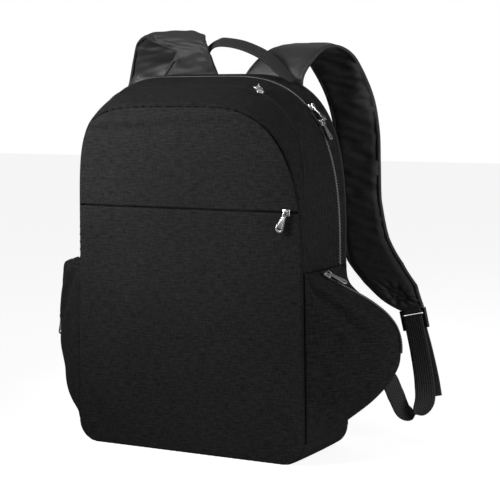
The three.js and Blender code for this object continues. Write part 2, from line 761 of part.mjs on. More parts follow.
// The main zip between the gussets and the front compartment's zip on the front one.
function addArchZips() {
  const inset = 2 * gap / bagHeight;
  add("main_zip", archZip(
    leftZipShare + inset, rightZipShare - inset, () => mainZipDepth, 0, wall), tape);
  const right = archShareAtHeight(compartmentZipEndHeight, 1, compartmentZipEndDepth);
  const left = archShareAtHeight(compartmentZipEndHeight, -1, compartmentZipEndDepth);
  add("front_compartment_zip", archZip(left, right, compartmentDepth, wall / 2 + gap, wall / 2), tape);
}

// Zip across the front: its tape lies behind the two front panels and its coil fills the slit.
function addFrontPocketZip() {
  const half = Math.min(sideX(pocketZipHeight, 0, -1), sideX(pocketZipHeight, 0, 1)) - pocketZipMargin;
  const coil = pocketSlit / 2 - gap;
  const face = wall + gap;
  const profile = [
    [-zipWidth / 2, face], [-coil, face], [-coil, wall / 2], [coil, wall / 2],
    [coil, face], [zipWidth / 2, face], [zipWidth / 2, face + pocketTape], [-zipWidth / 2, face + pocketTape],
  ];
  const rings = [];
  for (let i = 0; i <= frontZipSteps; i += 1) {
    const x = THREE.MathUtils.lerp(-half, half, i / frontZipSteps);
    rings.push(profile.map(([across, back]) => new THREE.Vector3(
      x, frontFace(new THREE.Vector2(x, pocketZipHeight), 0) + back, pocketZipHeight + across)));
  }
  add("front_pocket_zip", loftSolid(rings), tape);
}

// Push of the folds on a side pocket at a share of the way round it and a level.
function foldAt(around, level) {
  let push = 0;
  for (const fold of pocketFolds) {
    const da = fold.aroundB - fold.aroundA;
    const dz = fold.levelB - fold.levelA;
    const t = THREE.MathUtils.clamp(
      ((around - fold.aroundA) * da + (level - fold.levelA) * dz) / (da * da + dz * dz), 0, 1);
    const away = Math.hypot(around - fold.aroundA - t * da, level - fold.levelA - t * dz);
    push += fold.rise * wall * Math.exp(-((away / fold.spread) ** 2));
  }
  return push;
}

const ridgeAround = ridgeColumn / pocketColumns;
const pocketLevels = (side) => (side > 0 ? rightPocketLevels : leftPocketLevels);

// Point on a side pocket's outer surface: around runs from the front seam over the ridge to the back one.
function pocketPoint(side, around, level) {
  const row = rowAt(pocketLevels(side), "level", level);
  const near = around < ridgeAround;
  const q = near ? around / ridgeAround : (1 - around) / (1 - ridgeAround);
  const depth = near ? row.ridge * q : 1 - (1 - row.ridge) * q;
  const shape = 1 - (1 - q) ** (near ? pocketFrontRound : pocketBackRound);
  const inside = THREE.MathUtils.clamp(8 * Math.min(around, 1 - around, level + 0.02, 1 - level), 0, 1);
  const reach = Math.max(0, pocketBulge * row.bulge * shape + foldAt(around, level) * inside);
  const z = THREE.MathUtils.lerp(pocketBottom, pocketTop, level);
  const y = THREE.MathUtils.lerp(pocketSeamInset, bagDepth - pocketSeamInset, depth);
  return new THREE.Vector3(side * (sideX(z, y, side) + pocketWall + gap + reach), frontY + y, z);
}

// Hollow side pockets, open only towards the bag, and the zip along the ridge of each.
function addSidePocket(side, label) {
  const arounds = [];
  for (let i = 0; i <= pocketColumns; i += 1) arounds.push(i / pocketColumns);
  const levels = pocketLevels(side).map((row) => row.level);
  const outer = levels.map((level) => arounds.map((around) => pocketPoint(side, around, level)));
  const inner = outer.map((row, i) => row.map((p, j) => {
    const up = outer[Math.min(i + 1, outer.length - 1)][j];
    const down = outer[Math.max(i - 1, 0)][j];
    const back = row[Math.min(j + 1, row.length - 1)];
    const front = row[Math.max(j - 1, 0)];
    const normal = up.clone().sub(down).cross(back.clone().sub(front)).normalize();
    if (normal.x * side < 0) normal.negate();
    const q = p.clone().addScaledVector(normal, -pocketWall);
    const limit = sideX(q.z, THREE.MathUtils.clamp(q.y - frontY, 0, bagDepth), side) + gap;
    if (q.x * side < limit) q.x = side * limit;
    return q;
  }));
  add(`side_pocket_${label}`, shellSolid(outer, inner), cloth);
}

// Place on the ridge of a side pocket at a level.
function ridgePoint(side, level) {
  return pocketPoint(side, ridgeAround, level);
}

// Outward direction of a side pocket's zip, square to the way it runs.
function pocketZipOutward(side, along) {
  const outward = new THREE.Vector3(side, 0, pocketZipSlope);
  return outward.addScaledVector(along, -outward.dot(along)).normalize();
}

// Zip tape and coil along the ridge of a side pocket.
function addPocketZip(side, label) {
  const steps = pocketZipSteps;
  const centres = [];
  for (let i = 0; i <= steps; i += 1) {
    const level = THREE.MathUtils.lerp(pocketZipTop, pocketZipEnd, i / steps);
    centres.push(ridgePoint(side, level));
  }
  const spread = resample(centres, steps);
  const rings = spread.map((p, i) => {
    const along = spread[Math.min(i + 1, steps)].clone().sub(spread[Math.max(i - 1, 0)]).normalize();
    const outward = pocketZipOutward(side, along);
    const across = outward.clone().cross(along).normalize();
    return [[-1, 0], [-0.6, 1], [0.6, 1], [1, 0]].map(([w, h]) => p.clone()
      .addScaledVector(across, (w * coilWidth) / 2)
      .addScaledVector(outward, pocketZipLift + h * coilHeight));
  });
  add(`side_pocket_zip_${label}`, loftSolid(rings), tape);
}

// Place of a route's row: across, behind the middle and up.
function routePlace(side, row) {
  return new THREE.Vector3(side * row.across * halfWidth, row.back * bagDepth, row.up * bagHeight);
}

// Where the straps' roots lie on the back panel, and the place of a strap's row that stands off it.
const strapSeat = backFace(2 * rightStrapRoute[0].up - 1) + gap;

function strapPlace(side, row) {
  const place = routePlace(side, row);
  place.y += strapSeat + (strapThickness * row.thick) / 2;
  return place;
}

// Smooth curve through a route's rows, which placeAt places, with every column spread along it.
function routePoints(rows, placeAt, steps) {
  const curve = new THREE.CatmullRomCurve3(rows.map(placeAt), false, "centripetal");
  const places = [];
  for (let i = 0; i <= steps; i += 1) {
    const t = i / steps;
    const place = t * (rows.length - 1);
    const k = Math.min(Math.floor(place), rows.length - 2);
    const row = {};
    for (const key of Object.keys(rows[0])) {
      row[key] = THREE.MathUtils.lerp(rows[k][key], rows[k + 1][key], place - k);
    }
    places.push({ point: curve.getPoint(t), along: curve.getTangent(t), row });
  }
  return places;
}

// Band along a route: hint points across it, square to it or slanted as given, and profile gives its ring
// from width and thickness.
function bandAlong(places, hintAt, profileAt, square = true) {
  const rings = places.map((place, i) => {
    const across = hintAt(place, i).clone();
    if (square) across.addScaledVector(place.along, -across.dot(place.along));
    across.normalize();
    const out = across.clone().cross(place.along).normalize();
    return profileAt(place, i).map(([w, h]) => place.point.clone()
      .addScaledVector(across, w).addScaledVector(out, h));
  });
  return loftSolid(rings);
}

// Padded shoulder strap with thin bound edges.
function addStrap(side, label, route) {
  const places = routePoints(route, (row) => strapPlace(side, row), strapSteps);
  const hint = (place, i) => {
    const slant = THREE.MathUtils.degToRad(lockTilt)
      * THREE.MathUtils.smoothstep(i / strapSteps, strapTurnShare, 1);
    return new THREE.Vector3(side * Math.cos(slant), 0, Math.sin(slant));
  };
  const profile = (place, i) => {
    const w = (strapWidth * place.row.width) / 2;
    const flat = w * strapFlatShare;
    const h = (strapThickness * place.row.thick) / 2;
    const edge = Math.min(strapBindingThickness / 2, h);
    const wave = strapWrinkle * place.row.wrinkle * (i % 2 === 0 ? 0.5 : -0.5);
    return [
      [-w, -edge], [-flat, -h + wave], [flat, -h + wave], [w, -edge],
      [w, edge], [flat, h + wave], [-flat, h + wave], [-w, edge],
    ];
  };
  add(`shoulder_strap_${label}`, bandAlong(places, hint, profile, false), padding);
}

// Corners of a flat webbing's section.
function webbingProfile(width, thickness) {
  const w = width / 2;
  const h = thickness / 2;
  return [[-w, -h], [w, -h], [w, h], [-w, h]];
}

// Frame of a ladder lock: its origin is the middle of its upper edge, under the strap's end.
function lockFrame(side) {
  const end = strapPlace(side, rightStrapRoute[rightStrapRoute.length - 1]);
  const turn = new THREE.Matrix4().makeRotationY(-side * THREE.MathUtils.degToRad(lockTilt));
  const drop = new THREE.Matrix4().makeTranslation(0, 0, -gap);
  return new THREE.Matrix4().setPosition(end).multiply(turn).multiply(drop);
}

// Ladder lock: a frame with two windows and three bars.
function addLock(side, label) {
  const w = lockWidth / 2;
  const shape = new THREE.Shape();
  shape.moveTo(-w, 0);
  shape.lineTo(w, 0);
  shape.lineTo(w, lockHeight);
  shape.lineTo(-w, lockHeight);
  shape.closePath();
  const window = (lockHeight - 3 * lockBar) / 2;
  for (const low of [lockBar, 2 * lockBar + window]) {
    const hole = new THREE.Path();
    const inner = w - lockBar;
    hole.moveTo(-inner, low);
    hole.lineTo(-inner, low + window);
    hole.lineTo(inner, low + window);
    hole.lineTo(inner, low);
    hole.closePath();
    shape.holes.push(hole);
  }
  const frame = new THREE.ExtrudeGeometry(shape, { depth: lockThickness, bevelEnabled: false });
  frame.rotateX(Math.PI / 2);
  frame.translate(0, lockThickness / 2, -lockHeight);
  add(`strap_buckle_${label}`, frame, plastic).applyMatrix4(lockFrame(side));
}

// Stops of the webbing over a lock's middle bar, from the back face round its top to the front face.
function lockStops(side) {
  const window = (lockHeight - 3 * lockBar) / 2;
  const off = lockThickness / 2 + 2 * gap + webbingThickness / 2;
  const turnAt = -lockBar - window - webbingThickness / 2;
  const low = -lockHeight - webbingLockReach;
  const round = [[off, low]];
  for (let i = 0; i <= barSteps; i += 1) {
    const angle = (Math.PI * i) / barSteps;
    round.push([off * Math.cos(angle), turnAt + off * Math.sin(angle)]);
  }
  round.push([-off, low]);
  const lock = lockFrame(side);
  const across = new THREE.Vector3(side, 0, 0).transformDirection(lock);
  return round.map(([y, z]) => ({ point: new THREE.Vector3(0, y, z).applyMatrix4(lock), across }));
}

// Stops where the webbing is sewn to the bag's back seam: it runs straight up to the piping, on edge.
function seamStops(side) {
  const radius = pipingDiameter / 2;
  const middle = sideX(webbingSeamHeight, bagDepth - radius, side) - radius;
  return [radius + gap + webbingSeamRun, radius + gap].map((away) => {
    const reach = away * Math.SQRT1_2;
    const point = new THREE.Vector3(side * (middle + reach), halfDepth - radius + reach, webbingSeamHeight);
    return { point, across: new THREE.Vector3(0, 0, 1) };
  });
}

// Adjusting webbing: up from the bag's seam, round its loop, over the lock's middle bar and down again.
function addWebbing(side, label) {
  const rowStop = (row) => {
    const turn = THREE.MathUtils.degToRad(row.turn);
    const rise = THREE.MathUtils.degToRad(row.rise);
    const across = new THREE.Vector3(
      side * Math.cos(turn) * Math.cos(rise), Math.sin(turn) * Math.cos(rise), Math.sin(rise));
    return { point: routePlace(side, row), across };
  };
  const stops = [...webbingTail].reverse().map(rowStop);
  stops.push(...lockStops(side), ...webbingRoute.map(rowStop), ...seamStops(side));
  const curve = new THREE.CatmullRomCurve3(stops.map((stop) => stop.point), false, "centripetal");
  const steps = webbingSteps * (stops.length - 1);
  const places = [];
  for (let i = 0; i <= steps; i += 1) {
    const place = (i / steps) * (stops.length - 1);
    const k = Math.min(Math.floor(place), stops.length - 2);
    const across = stops[k].across.clone().lerp(stops[k + 1].across, place - k).normalize();
    places.push({ point: curve.getPoint(i / steps), along: curve.getTangent(i / steps), across });
  }
  const profile = () => webbingProfile(webbingWidth, webbingThickness);
  add(`lower_webbing_${label}`, bandAlong(places, (place) => place.across, profile), webbing);
}

// Place of a handle's row, seated on the bag's top or on the left strap's root where its columns say so.
function handlePlace(row) {
  const place = routePlace(1, row);
  const seat = gap + handleThickness / 2;
  const root = rowAt(leftStrapRoute, "up", row.up);
  place.y += row.onStrap * (strapSeat + strapThickness * root.thick + seat);
  place.z += row.onTop * (topHeight(place.x, place.y) + seat);
  return place;
}

// Grab handle, a band of webbing tilted towards the front, with its right end flat on the bag's top.
function addHandle() {
  const places = routePoints(handleRoute, handlePlace, handleSteps);
  const half = handleWidth / 2;
  const hint = (place) => {
    const { x, y } = place.point;
    const slope = Math.atan2(topHeight(x, y + half) - topHeight(x, y - half), handleWidth);
    const tilt = THREE.MathUtils.lerp(THREE.MathUtils.degToRad(handleTilt), slope, place.row.onTop);
    const turn = THREE.MathUtils.degToRad(place.row.turn);
    const level = Math.cos(turn);
    return new THREE.Vector3(-Math.sin(turn), level * Math.cos(tilt), level * Math.sin(tilt));
  };
  const profile = () => webbingProfile(handleWidth, handleThickness);
  add("grab_handle", bandAlong(places, hint, profile), webbing);
}

// Zip slider in its own frame: it lies along X on the tape and its bail stands across the hinge axis.
function sliderGeometry(bailTurn) {
  const body = new THREE.BoxGeometry(sliderLength, sliderWidth, sliderThickness);
  body.translate(0, 0, sliderThickness / 2);
  const half = bailLength / 2;
  const rise = bailRise + bailBar;
  const arch = new THREE.Shape();
  arch.moveTo(-half, -bailBar / 2);
  arch.lineTo(half, -bailBar / 2);
  arch.lineTo(half, rise - bailBar);
  arch.lineTo(half - bailBar, rise);
  arch.lineTo(bailBar - half, rise);
  arch.lineTo(-half, rise - bailBar);
  arch.closePath();
  const eye = new THREE.Path();
  eye.moveTo(bailBar - half, 0);
  eye.lineTo(bailBar - half, rise - bailBar);
  eye.lineTo(half - bailBar, rise - bailBar);
  eye.lineTo(half - bailBar, 0);
  eye.closePath();
  arch.holes.push(eye);
  const bail = new THREE.ExtrudeGeometry(arch, { depth: bailWidth, bevelEnabled: false });
  bail.translate(0, 0, -bailWidth / 2);
  bail.rotateX(Math.PI / 2);
  bail.rotateZ(bailTurn);
  bail.translate(0, 0, sliderThickness);
  return toGeometry(toSolid(body).add(toSolid(bail)));
}

// Height of a pull's hinge axis over a slider's seat.
const hingeHeight = sliderThickness + bailRise / 2;

// Zip pull in its own frame: its crossbar lies on Y at the origin and its tab runs along X.
function pullGeometry() {
  const neck = pullNeckWidth / 2;
  const end = pullEndWidth / 2;
  const start = -pullCrossbar / 2;
  const shape = new THREE.Shape();
  shape.moveTo(start, -neck);
  shape.lineTo(pullLength * 0.3, -neck);
  shape.lineTo(pullLength - end, -end);
  shape.absarc(pullLength - end, 0, end, -Math.PI / 2, Math.PI / 2, false);
  shape.lineTo(pullLength * 0.3, neck);
  shape.lineTo(start, neck);
  shape.closePath();
  const eyeSide = bailWidth / 2 + runningGap;
  const eyeEnd = Math.hypot(bailLength / 2, bailRise / 2 + bailBar) + runningGap;
  const eye = new THREE.Path();
  eye.moveTo(pullCrossbar / 2, -eyeSide);
  eye.lineTo(pullCrossbar / 2, eyeSide);
  eye.lineTo(eyeEnd, eyeSide);
  eye.lineTo(eyeEnd, -eyeSide);
  eye.closePath();
  const slot = new THREE.Path();
  const slotAt = pullLength - end;
  slot.moveTo(slotAt, -pullSlotLength / 2);
  slot.lineTo(slotAt, pullSlotLength / 2);
  slot.lineTo(slotAt + pullSlotWidth, pullSlotLength / 2);
  slot.lineTo(slotAt + pullSlotWidth, -pullSlotLength / 2);
  slot.closePath();
  shape.holes.push(eye, slot);
  const geometry = new THREE.ExtrudeGeometry(shape, {
    depth: pullThickness, bevelEnabled: false, curveSegments: 6,
  });
  geometry.translate(0, 0, -pullThickness / 2);
  return geometry;
}

// Seats a slider and its pull: place on the cloth, outward direction, zip direction, and the pull's turn
// from the zip direction and its lift off the cloth, in degrees.
function addZipPair(name, place, outward, along, pullTurn, pullLift) {
  const z = outward.clone().normalize();
  const x = along.clone().addScaledVector(z, -along.dot(z)).normalize();
  const y = z.clone().cross(x);
  const frame = new THREE.Matrix4().makeBasis(x, y, z).setPosition(place);
  const turn = THREE.MathUtils.degToRad(pullTurn);
  const slider = add(`${name}_slider`, sliderGeometry(turn), metal);
  slider.applyMatrix4(frame);
  const pull = add(`${name}_pull`, pullGeometry(), metal);
  const swing = new THREE.Matrix4().makeTranslation(0, 0, hingeHeight)
    .multiply(new THREE.Matrix4().makeRotationZ(turn))
    .multiply(new THREE.Matrix4().makeRotationY(-THREE.MathUtils.degToRad(pullLift)));
  pull.applyMatrix4(frame.clone().multiply(swing));
}

const seatLift = coilHeight + sliderSeatGap;
const shareStep = 0.01;

// The main zip's two sliders, parked together on the right.
function addMainSliders() {
  mainSliders.forEach(({ height, lift }, i) => {
    const share = archShareAtHeight(height, 1, mainZipDepth);
    const place = skinPoint("arch", share, mainZipDepth, -seatLift);
    const along = skinPoint("arch", share + shareStep, mainZipDepth, -seatLift).sub(place);
    addZipPair(`main_zip_${i + 1}`, place, skinNormal(share, mainZipDepth), along, 0, lift);
  });
}

// The front compartment zip's slider on top of the bag.
function addCompartmentSlider() {
  const { share, turn, lift } = compartmentSlider;
  const inset = -(wall / 2 + gap + seatLift);
  const depth = compartmentDepth(share);
  const here = skinPoint("arch", share, depth, inset);
  const along = skinPoint("arch", share + shareStep, compartmentDepth(share + shareStep), inset).sub(here);
  const slope = skinPoint("arch", share, depth + 1, inset).sub(here);
  const outward = slope.clone().cross(along).normalize();
  if (outward.z < 0) outward.negate();
  addZipPair("compartment_zip", here, outward, along, turn, lift);
}

// The front pocket zip's slider near the zip's right end.
function addFrontSlider() {
  const { x, turn, lift } = frontSlider;
  const y = frontFace(new THREE.Vector2(x, pocketZipHeight), 0) - sliderSeatGap;
  const outward = new THREE.Vector3(0, -1, 0);
  const along = new THREE.Vector3(1, 0, 0);
  addZipPair("front_pocket_zip", new THREE.Vector3(x, y, pocketZipHeight), outward, along, turn, lift);
}

// A side pocket's slider on its zip, near the top on the right and near the lower end on the left.
function addPocketSlider(side, label) {
  const { level, lift } = side > 0 ? rightPocketSlider : leftPocketSlider;
  const start = ridgePoint(side, level);
  const run = ridgePoint(side, level - shareStep).sub(start).normalize();
  const out = pocketZipOutward(side, run);
  addZipPair(`side_pocket_${label}`, start.addScaledVector(out, pocketZipLift + seatLift), out, run, 0, lift);
}

addFrontPanels();
addGussets();
addBase();
addBackPanel();
addPiping();
addArchZips();
addFrontPocketZip();
for (const [side, label] of [[1, "right"], [-1, "left"]]) {
  addSidePocket(side, label);
  addPocketZip(side, label);
  addStrap(side, label, side > 0 ? rightStrapRoute : leftStrapRoute);
  addLock(side, label);
  addWebbing(side, label);
}
addHandle();
addMainSliders();
addCompartmentSlider();
addFrontSlider();
addPocketSlider(1, "right");
addPocketSlider(-1, "left");

export default bag;
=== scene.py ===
"""Slim laptop backpack: cloth, padding, webbing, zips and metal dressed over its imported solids."""
import json
import logging
import math
from dataclasses import dataclass, field
from enum import Enum
from typing import Sequence

import bmesh
import bpy
import numpy as np
from mathutils import Matrix, Vector

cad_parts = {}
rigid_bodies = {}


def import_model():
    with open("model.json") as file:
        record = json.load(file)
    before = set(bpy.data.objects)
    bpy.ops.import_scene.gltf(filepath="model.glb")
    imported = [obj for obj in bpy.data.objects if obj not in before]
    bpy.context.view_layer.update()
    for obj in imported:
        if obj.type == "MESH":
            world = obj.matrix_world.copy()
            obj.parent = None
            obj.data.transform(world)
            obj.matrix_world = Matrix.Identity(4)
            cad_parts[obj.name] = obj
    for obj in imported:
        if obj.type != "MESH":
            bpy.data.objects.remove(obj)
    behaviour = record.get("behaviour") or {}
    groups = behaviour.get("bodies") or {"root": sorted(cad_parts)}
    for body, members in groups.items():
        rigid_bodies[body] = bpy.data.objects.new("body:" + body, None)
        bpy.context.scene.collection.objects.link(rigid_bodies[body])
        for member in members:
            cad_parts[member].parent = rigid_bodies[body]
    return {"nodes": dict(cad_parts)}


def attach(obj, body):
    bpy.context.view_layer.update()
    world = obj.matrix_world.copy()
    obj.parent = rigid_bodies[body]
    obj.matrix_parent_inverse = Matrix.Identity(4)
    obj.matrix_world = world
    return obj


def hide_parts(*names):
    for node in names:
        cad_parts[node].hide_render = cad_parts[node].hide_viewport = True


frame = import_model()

LOG = logging.getLogger("backpack")
MM = 0.001
BAG_BODY = "bag"
Points = np.ndarray
# Half width, depth and height that the routes' shares stand for, in millimetres
BAG_SHARES = (152.0, 125.0, 446.0)


class Side(Enum):
    """Side of the bag, as the sign of its X."""

    RIGHT = 1
    LEFT = -1

    @property
    def label(self) -> str:
        """The side's name in piece names."""
        return self.name.lower()


class Part(Enum):
    """Part of the bag's outline round its depth."""

    ARCH = "arch"
    BASE = "base"


class Layer(Enum):
    """Face of a strap: the one towards the bag and the one away from it."""

    INNER = -1
    OUTER = 1


# ---------------------------------------------------------------------------------------------
# Forms
# ---------------------------------------------------------------------------------------------


def unit(vectors: Points) -> Points:
    """Scales vectors to length one.

    Args:
        vectors: An array of vectors along its last axis.

    Returns:
        The unit vectors.
    """
    length = np.linalg.norm(vectors, axis=-1, keepdims=True)
    return vectors / np.maximum(length, 1e-9)


def soft_interp(x: Points, xs: Sequence[float], ys: Sequence[float], blur: float) -> Points:
    """Reads a table between its rows with the corners rounded off.

    Args:
        x: The places to read.
        xs: The table's places, rising.
        ys: The table's values.
        blur: How far each side of a place is averaged.

    Returns:
        The values.
    """
    x = np.asarray(x, float)
    reach = np.minimum(blur, np.minimum(x - xs[0], xs[-1] - x))
    reach = np.maximum(reach, 0.0)
    total = np.zeros_like(x)
    shares = np.linspace(-1.0, 1.0, 9)
    for share in shares:
        total += np.interp(x + share * reach, xs, ys)
    return total / len(shares)


def through(points: Points, ts: Points) -> Points:
    """Centripetal curve through points.

    Args:
        points: The points, one a row.
        ts: Places along the curve from 0 to 1.

    Returns:
        The curve's points.
    """
    points = np.asarray(points, float)
    last = len(points) - 1
    padded = np.vstack([2 * points[0] - points[1], points, 2 * points[-1] - points[-2]])
    out = np.zeros((len(ts), points.shape[1]))
    for n, t in enumerate(ts):
        place = min(max(t, 0.0), 1.0) * last
        i = min(int(place), last - 1)
        w = place - i
        p0, p1, p2, p3 = padded[i:i + 4]
        d1 = max(np.linalg.norm(p2 - p1) ** 0.5, 1e-4)
        d0 = np.linalg.norm(p1 - p0) ** 0.5 or d1
        d2 = np.linalg.norm(p3 - p2) ** 0.5 or d1
        m1 = ((p1 - p0) / d0 - (p2 - p0) / (d0 + d1) + (p2 - p1) / d1) * d1
        m2 = ((p2 - p1) / d1 - (p3 - p1) / (d1 + d2) + (p3 - p2) / d2) * d1
        out[n] = (p1 + m1 * w + (-3 * p1 + 3 * p2 - 2 * m1 - m2) * w ** 2
                  + (2 * p1 - 2 * p2 + m1 + m2) * w ** 3)
    return out


def between(table: Points, ts: Points) -> Points:
    """Rows of a table at shares of its length, blended evenly: share, column."""
    index = ts * (len(table) - 1)
    steps = np.arange(len(table))
    return np.stack([np.interp(index, steps, column) for column in table.T], axis=1)


def square_frame(line: Points, across: Points) -> tuple[Points, Points]:
    """Directions across a line and out of it, both square to it, from rough ones across it."""
    run = unit(np.gradient(line, axis=0))
    across = unit(across - run * np.sum(across * run, axis=1)[:, None])
    return across, unit(np.cross(across, run))


def lengths_along(points: Points) -> Points:
    """Length of a line from its start to each of its points."""
    return np.concatenate([[0.0], np.cumsum(np.linalg.norm(np.diff(points, axis=0), axis=1))])


def spread(points: Points, count: int) -> Points:
    """Points of a line spread evenly along its length.

    Args:
        points: The line's points.
        count: The number of steps wanted.

    Returns:
        count + 1 points.
    """
    run = lengths_along(points)
    wanted = np.linspace(0.0, run[-1], count + 1)
    return np.stack([np.interp(wanted, run, points[:, k]) for k in range(points.shape[1])], axis=1)


@dataclass(frozen=True)
class SoftField:
    """Smooth uneven field made of a fixed sum of waves."""

    seed: int
    wavelength: float
    stretch: tuple[float, float] = (1.0, 1.0)
    waves: int = 14

    def at(self, u: Points, v: Points) -> Points:
        """Value of the field, about one at most.

        Args:
            u: Places along the first direction, in millimetres.
            v: Places along the second direction, in millimetres.

        Returns:
            The values.
        """
        rng = np.random.default_rng(self.seed)
        total = np.zeros(np.broadcast(u, v).shape)
        for _ in range(self.waves):
            angle, phase = rng.uniform(0, 2 * math.pi, 2)
            size = self.wavelength * rng.uniform(0.6, 1.7)
            run = u * self.stretch[0] * math.cos(angle) + v * self.stretch[1] * math.sin(angle)
            total = total + np.sin(2 * math.pi * run / size + phase)
        return total / self.waves ** 0.5 / 1.4


@dataclass(frozen=True)
class Fold:
    """Crease pressed into cloth between two places, a ridge where it rises and a valley where it falls."""

    start: tuple[float, float]
    end: tuple[float, float]
    rise: float
    spread: float

    def at(self, u: Points, v: Points) -> Points:
        """Height of the crease, fading out at both ends.

        Args:
            u: Places along the first direction.
            v: Places along the second direction.

        Returns:
            The heights.
        """
        du, dv = self.end[0] - self.start[0], self.end[1] - self.start[1]
        t = ((u - self.start[0]) * du + (v - self.start[1]) * dv) / (du * du + dv * dv)
        held = np.clip(t, 0, 1)
        away = np.hypot(u - self.start[0] - held * du, v - self.start[1] - held * dv)
        fade = np.clip(1.25 - 0.9 * held, 0, 1)
        return self.rise * fade * np.exp(-((away / self.spread) ** 2))


@dataclass(frozen=True)
class BagForm:
    """The bag's skin in millimetres: named sizes and the table of its sections from front to back."""

    width: float = 304.0
    depth: float = 125.0
    height: float = 446.0
    spring_height: float = 223.0
    base_flare: float = 3.5
    base_corner: float = 26.0
    seam_height: float = 28.0
    front_bulge: float = 7.0
    back_bulge: float = 4.0
    main_zip_depth: float = 103.0
    pocket_zip_height: float = 291.0
    sections: tuple[tuple[float, ...], ...] = (
        (0.0, 0.985, 0.917, 0.12, 6.0, 2.75),
        (0.03, 0.995, 0.928, 0.1, 6.3, 2.75),
        (0.3, 1.0, 0.956, 0.05, 8.0, 2.8),
        (0.6, 1.0, 0.984, 0.0, 9.0, 2.8),
        (0.79, 0.995, 1.0, -0.03, 8.4, 2.8),
        (0.86, 0.995, 1.0, -0.03, 8.4, 2.85),
        (0.93, 0.99, 1.006, -0.02, 8.0, 3.2),
        (1.0, 0.99, 1.008, -0.02, 7.6, 3.4),
    )

    @property
    def front_y(self) -> float:
        """Y of the front seam."""
        return -self.depth / 2

    def section(self, share: float) -> tuple[float, ...]:
        """Width, height, crest and both shoulders' squareness at a share of the depth."""
        table = np.array(self.sections)
        return tuple(float(np.interp(share, table[:, 0], table[:, k])) for k in range(1, 6))

    def shoulder(self, section: tuple[float, ...], side: int) -> Points:
        """One shoulder from the spring height to the crest.

        Args:
            section: A row that section() gives.
            side: 1 for the right shoulder and -1 for the left one.

        Returns:
            Points across and up.
        """
        width, height, crest, left, right = section
        square = right if side > 0 else left
        crest_x = crest * self.width / 2
        reach = width * self.width / 2 - side * crest_x
        rise = height * self.height - self.spring_height
        angle = np.linspace(0, math.pi / 2, 181)
        x = crest_x + side * reach * np.cos(angle).clip(0) ** (2 / square)
        z = self.spring_height + rise * np.sin(angle) ** (2 / square)
        return np.stack([x, z], axis=1)

    def side_reach(self, section: tuple[float, ...], height: float) -> float:
        """Half width of a section on its straight lower side."""
        rise = min(max(height / self.spring_height, 0.0), 1.0)
        return section[0] * self.width / 2 + self.base_flare * (1 - rise)

    def outline(self, depth: float, part: Part) -> Points:
        """The arch or the base of the outline at a depth from the front, in even steps.

        Args:
            depth: Millimetres from the front seam.
            part: Which part of the outline.

        Returns:
            Points across and up.
        """
        section = self.section(depth / self.depth)
        edge = self.side_reach(section, self.seam_height)
        if part is Part.ARCH:
            line = [[(-edge, self.seam_height)], self.shoulder(section, -1),
                    self.shoulder(section, 1)[::-1], [(edge, self.seam_height)]]
            return spread(np.vstack(line), 480)
        corner = self.base_corner
        reach = self.side_reach(section, corner)
        turn = np.linspace(0, math.pi / 2, 25)
        right = np.stack([reach - corner + corner * np.cos(turn), corner - corner * np.sin(turn)], axis=1)
        left = right[::-1] * (-1, 1)
        return spread(np.vstack([[(edge, self.seam_height)], right, left, [(-edge, self.seam_height)]]), 160)

    def front_face(self, x: Points, z: Points) -> Points:
        """Y of the front's bulge at places across and up."""
        up = (z - self.height / 2) / (self.height / 2)
        swell = np.maximum(0, 1 - (x / (self.width / 2)) ** 4) * np.maximum(0, 1 - up ** 4)
        return self.front_y - self.front_bulge * swell


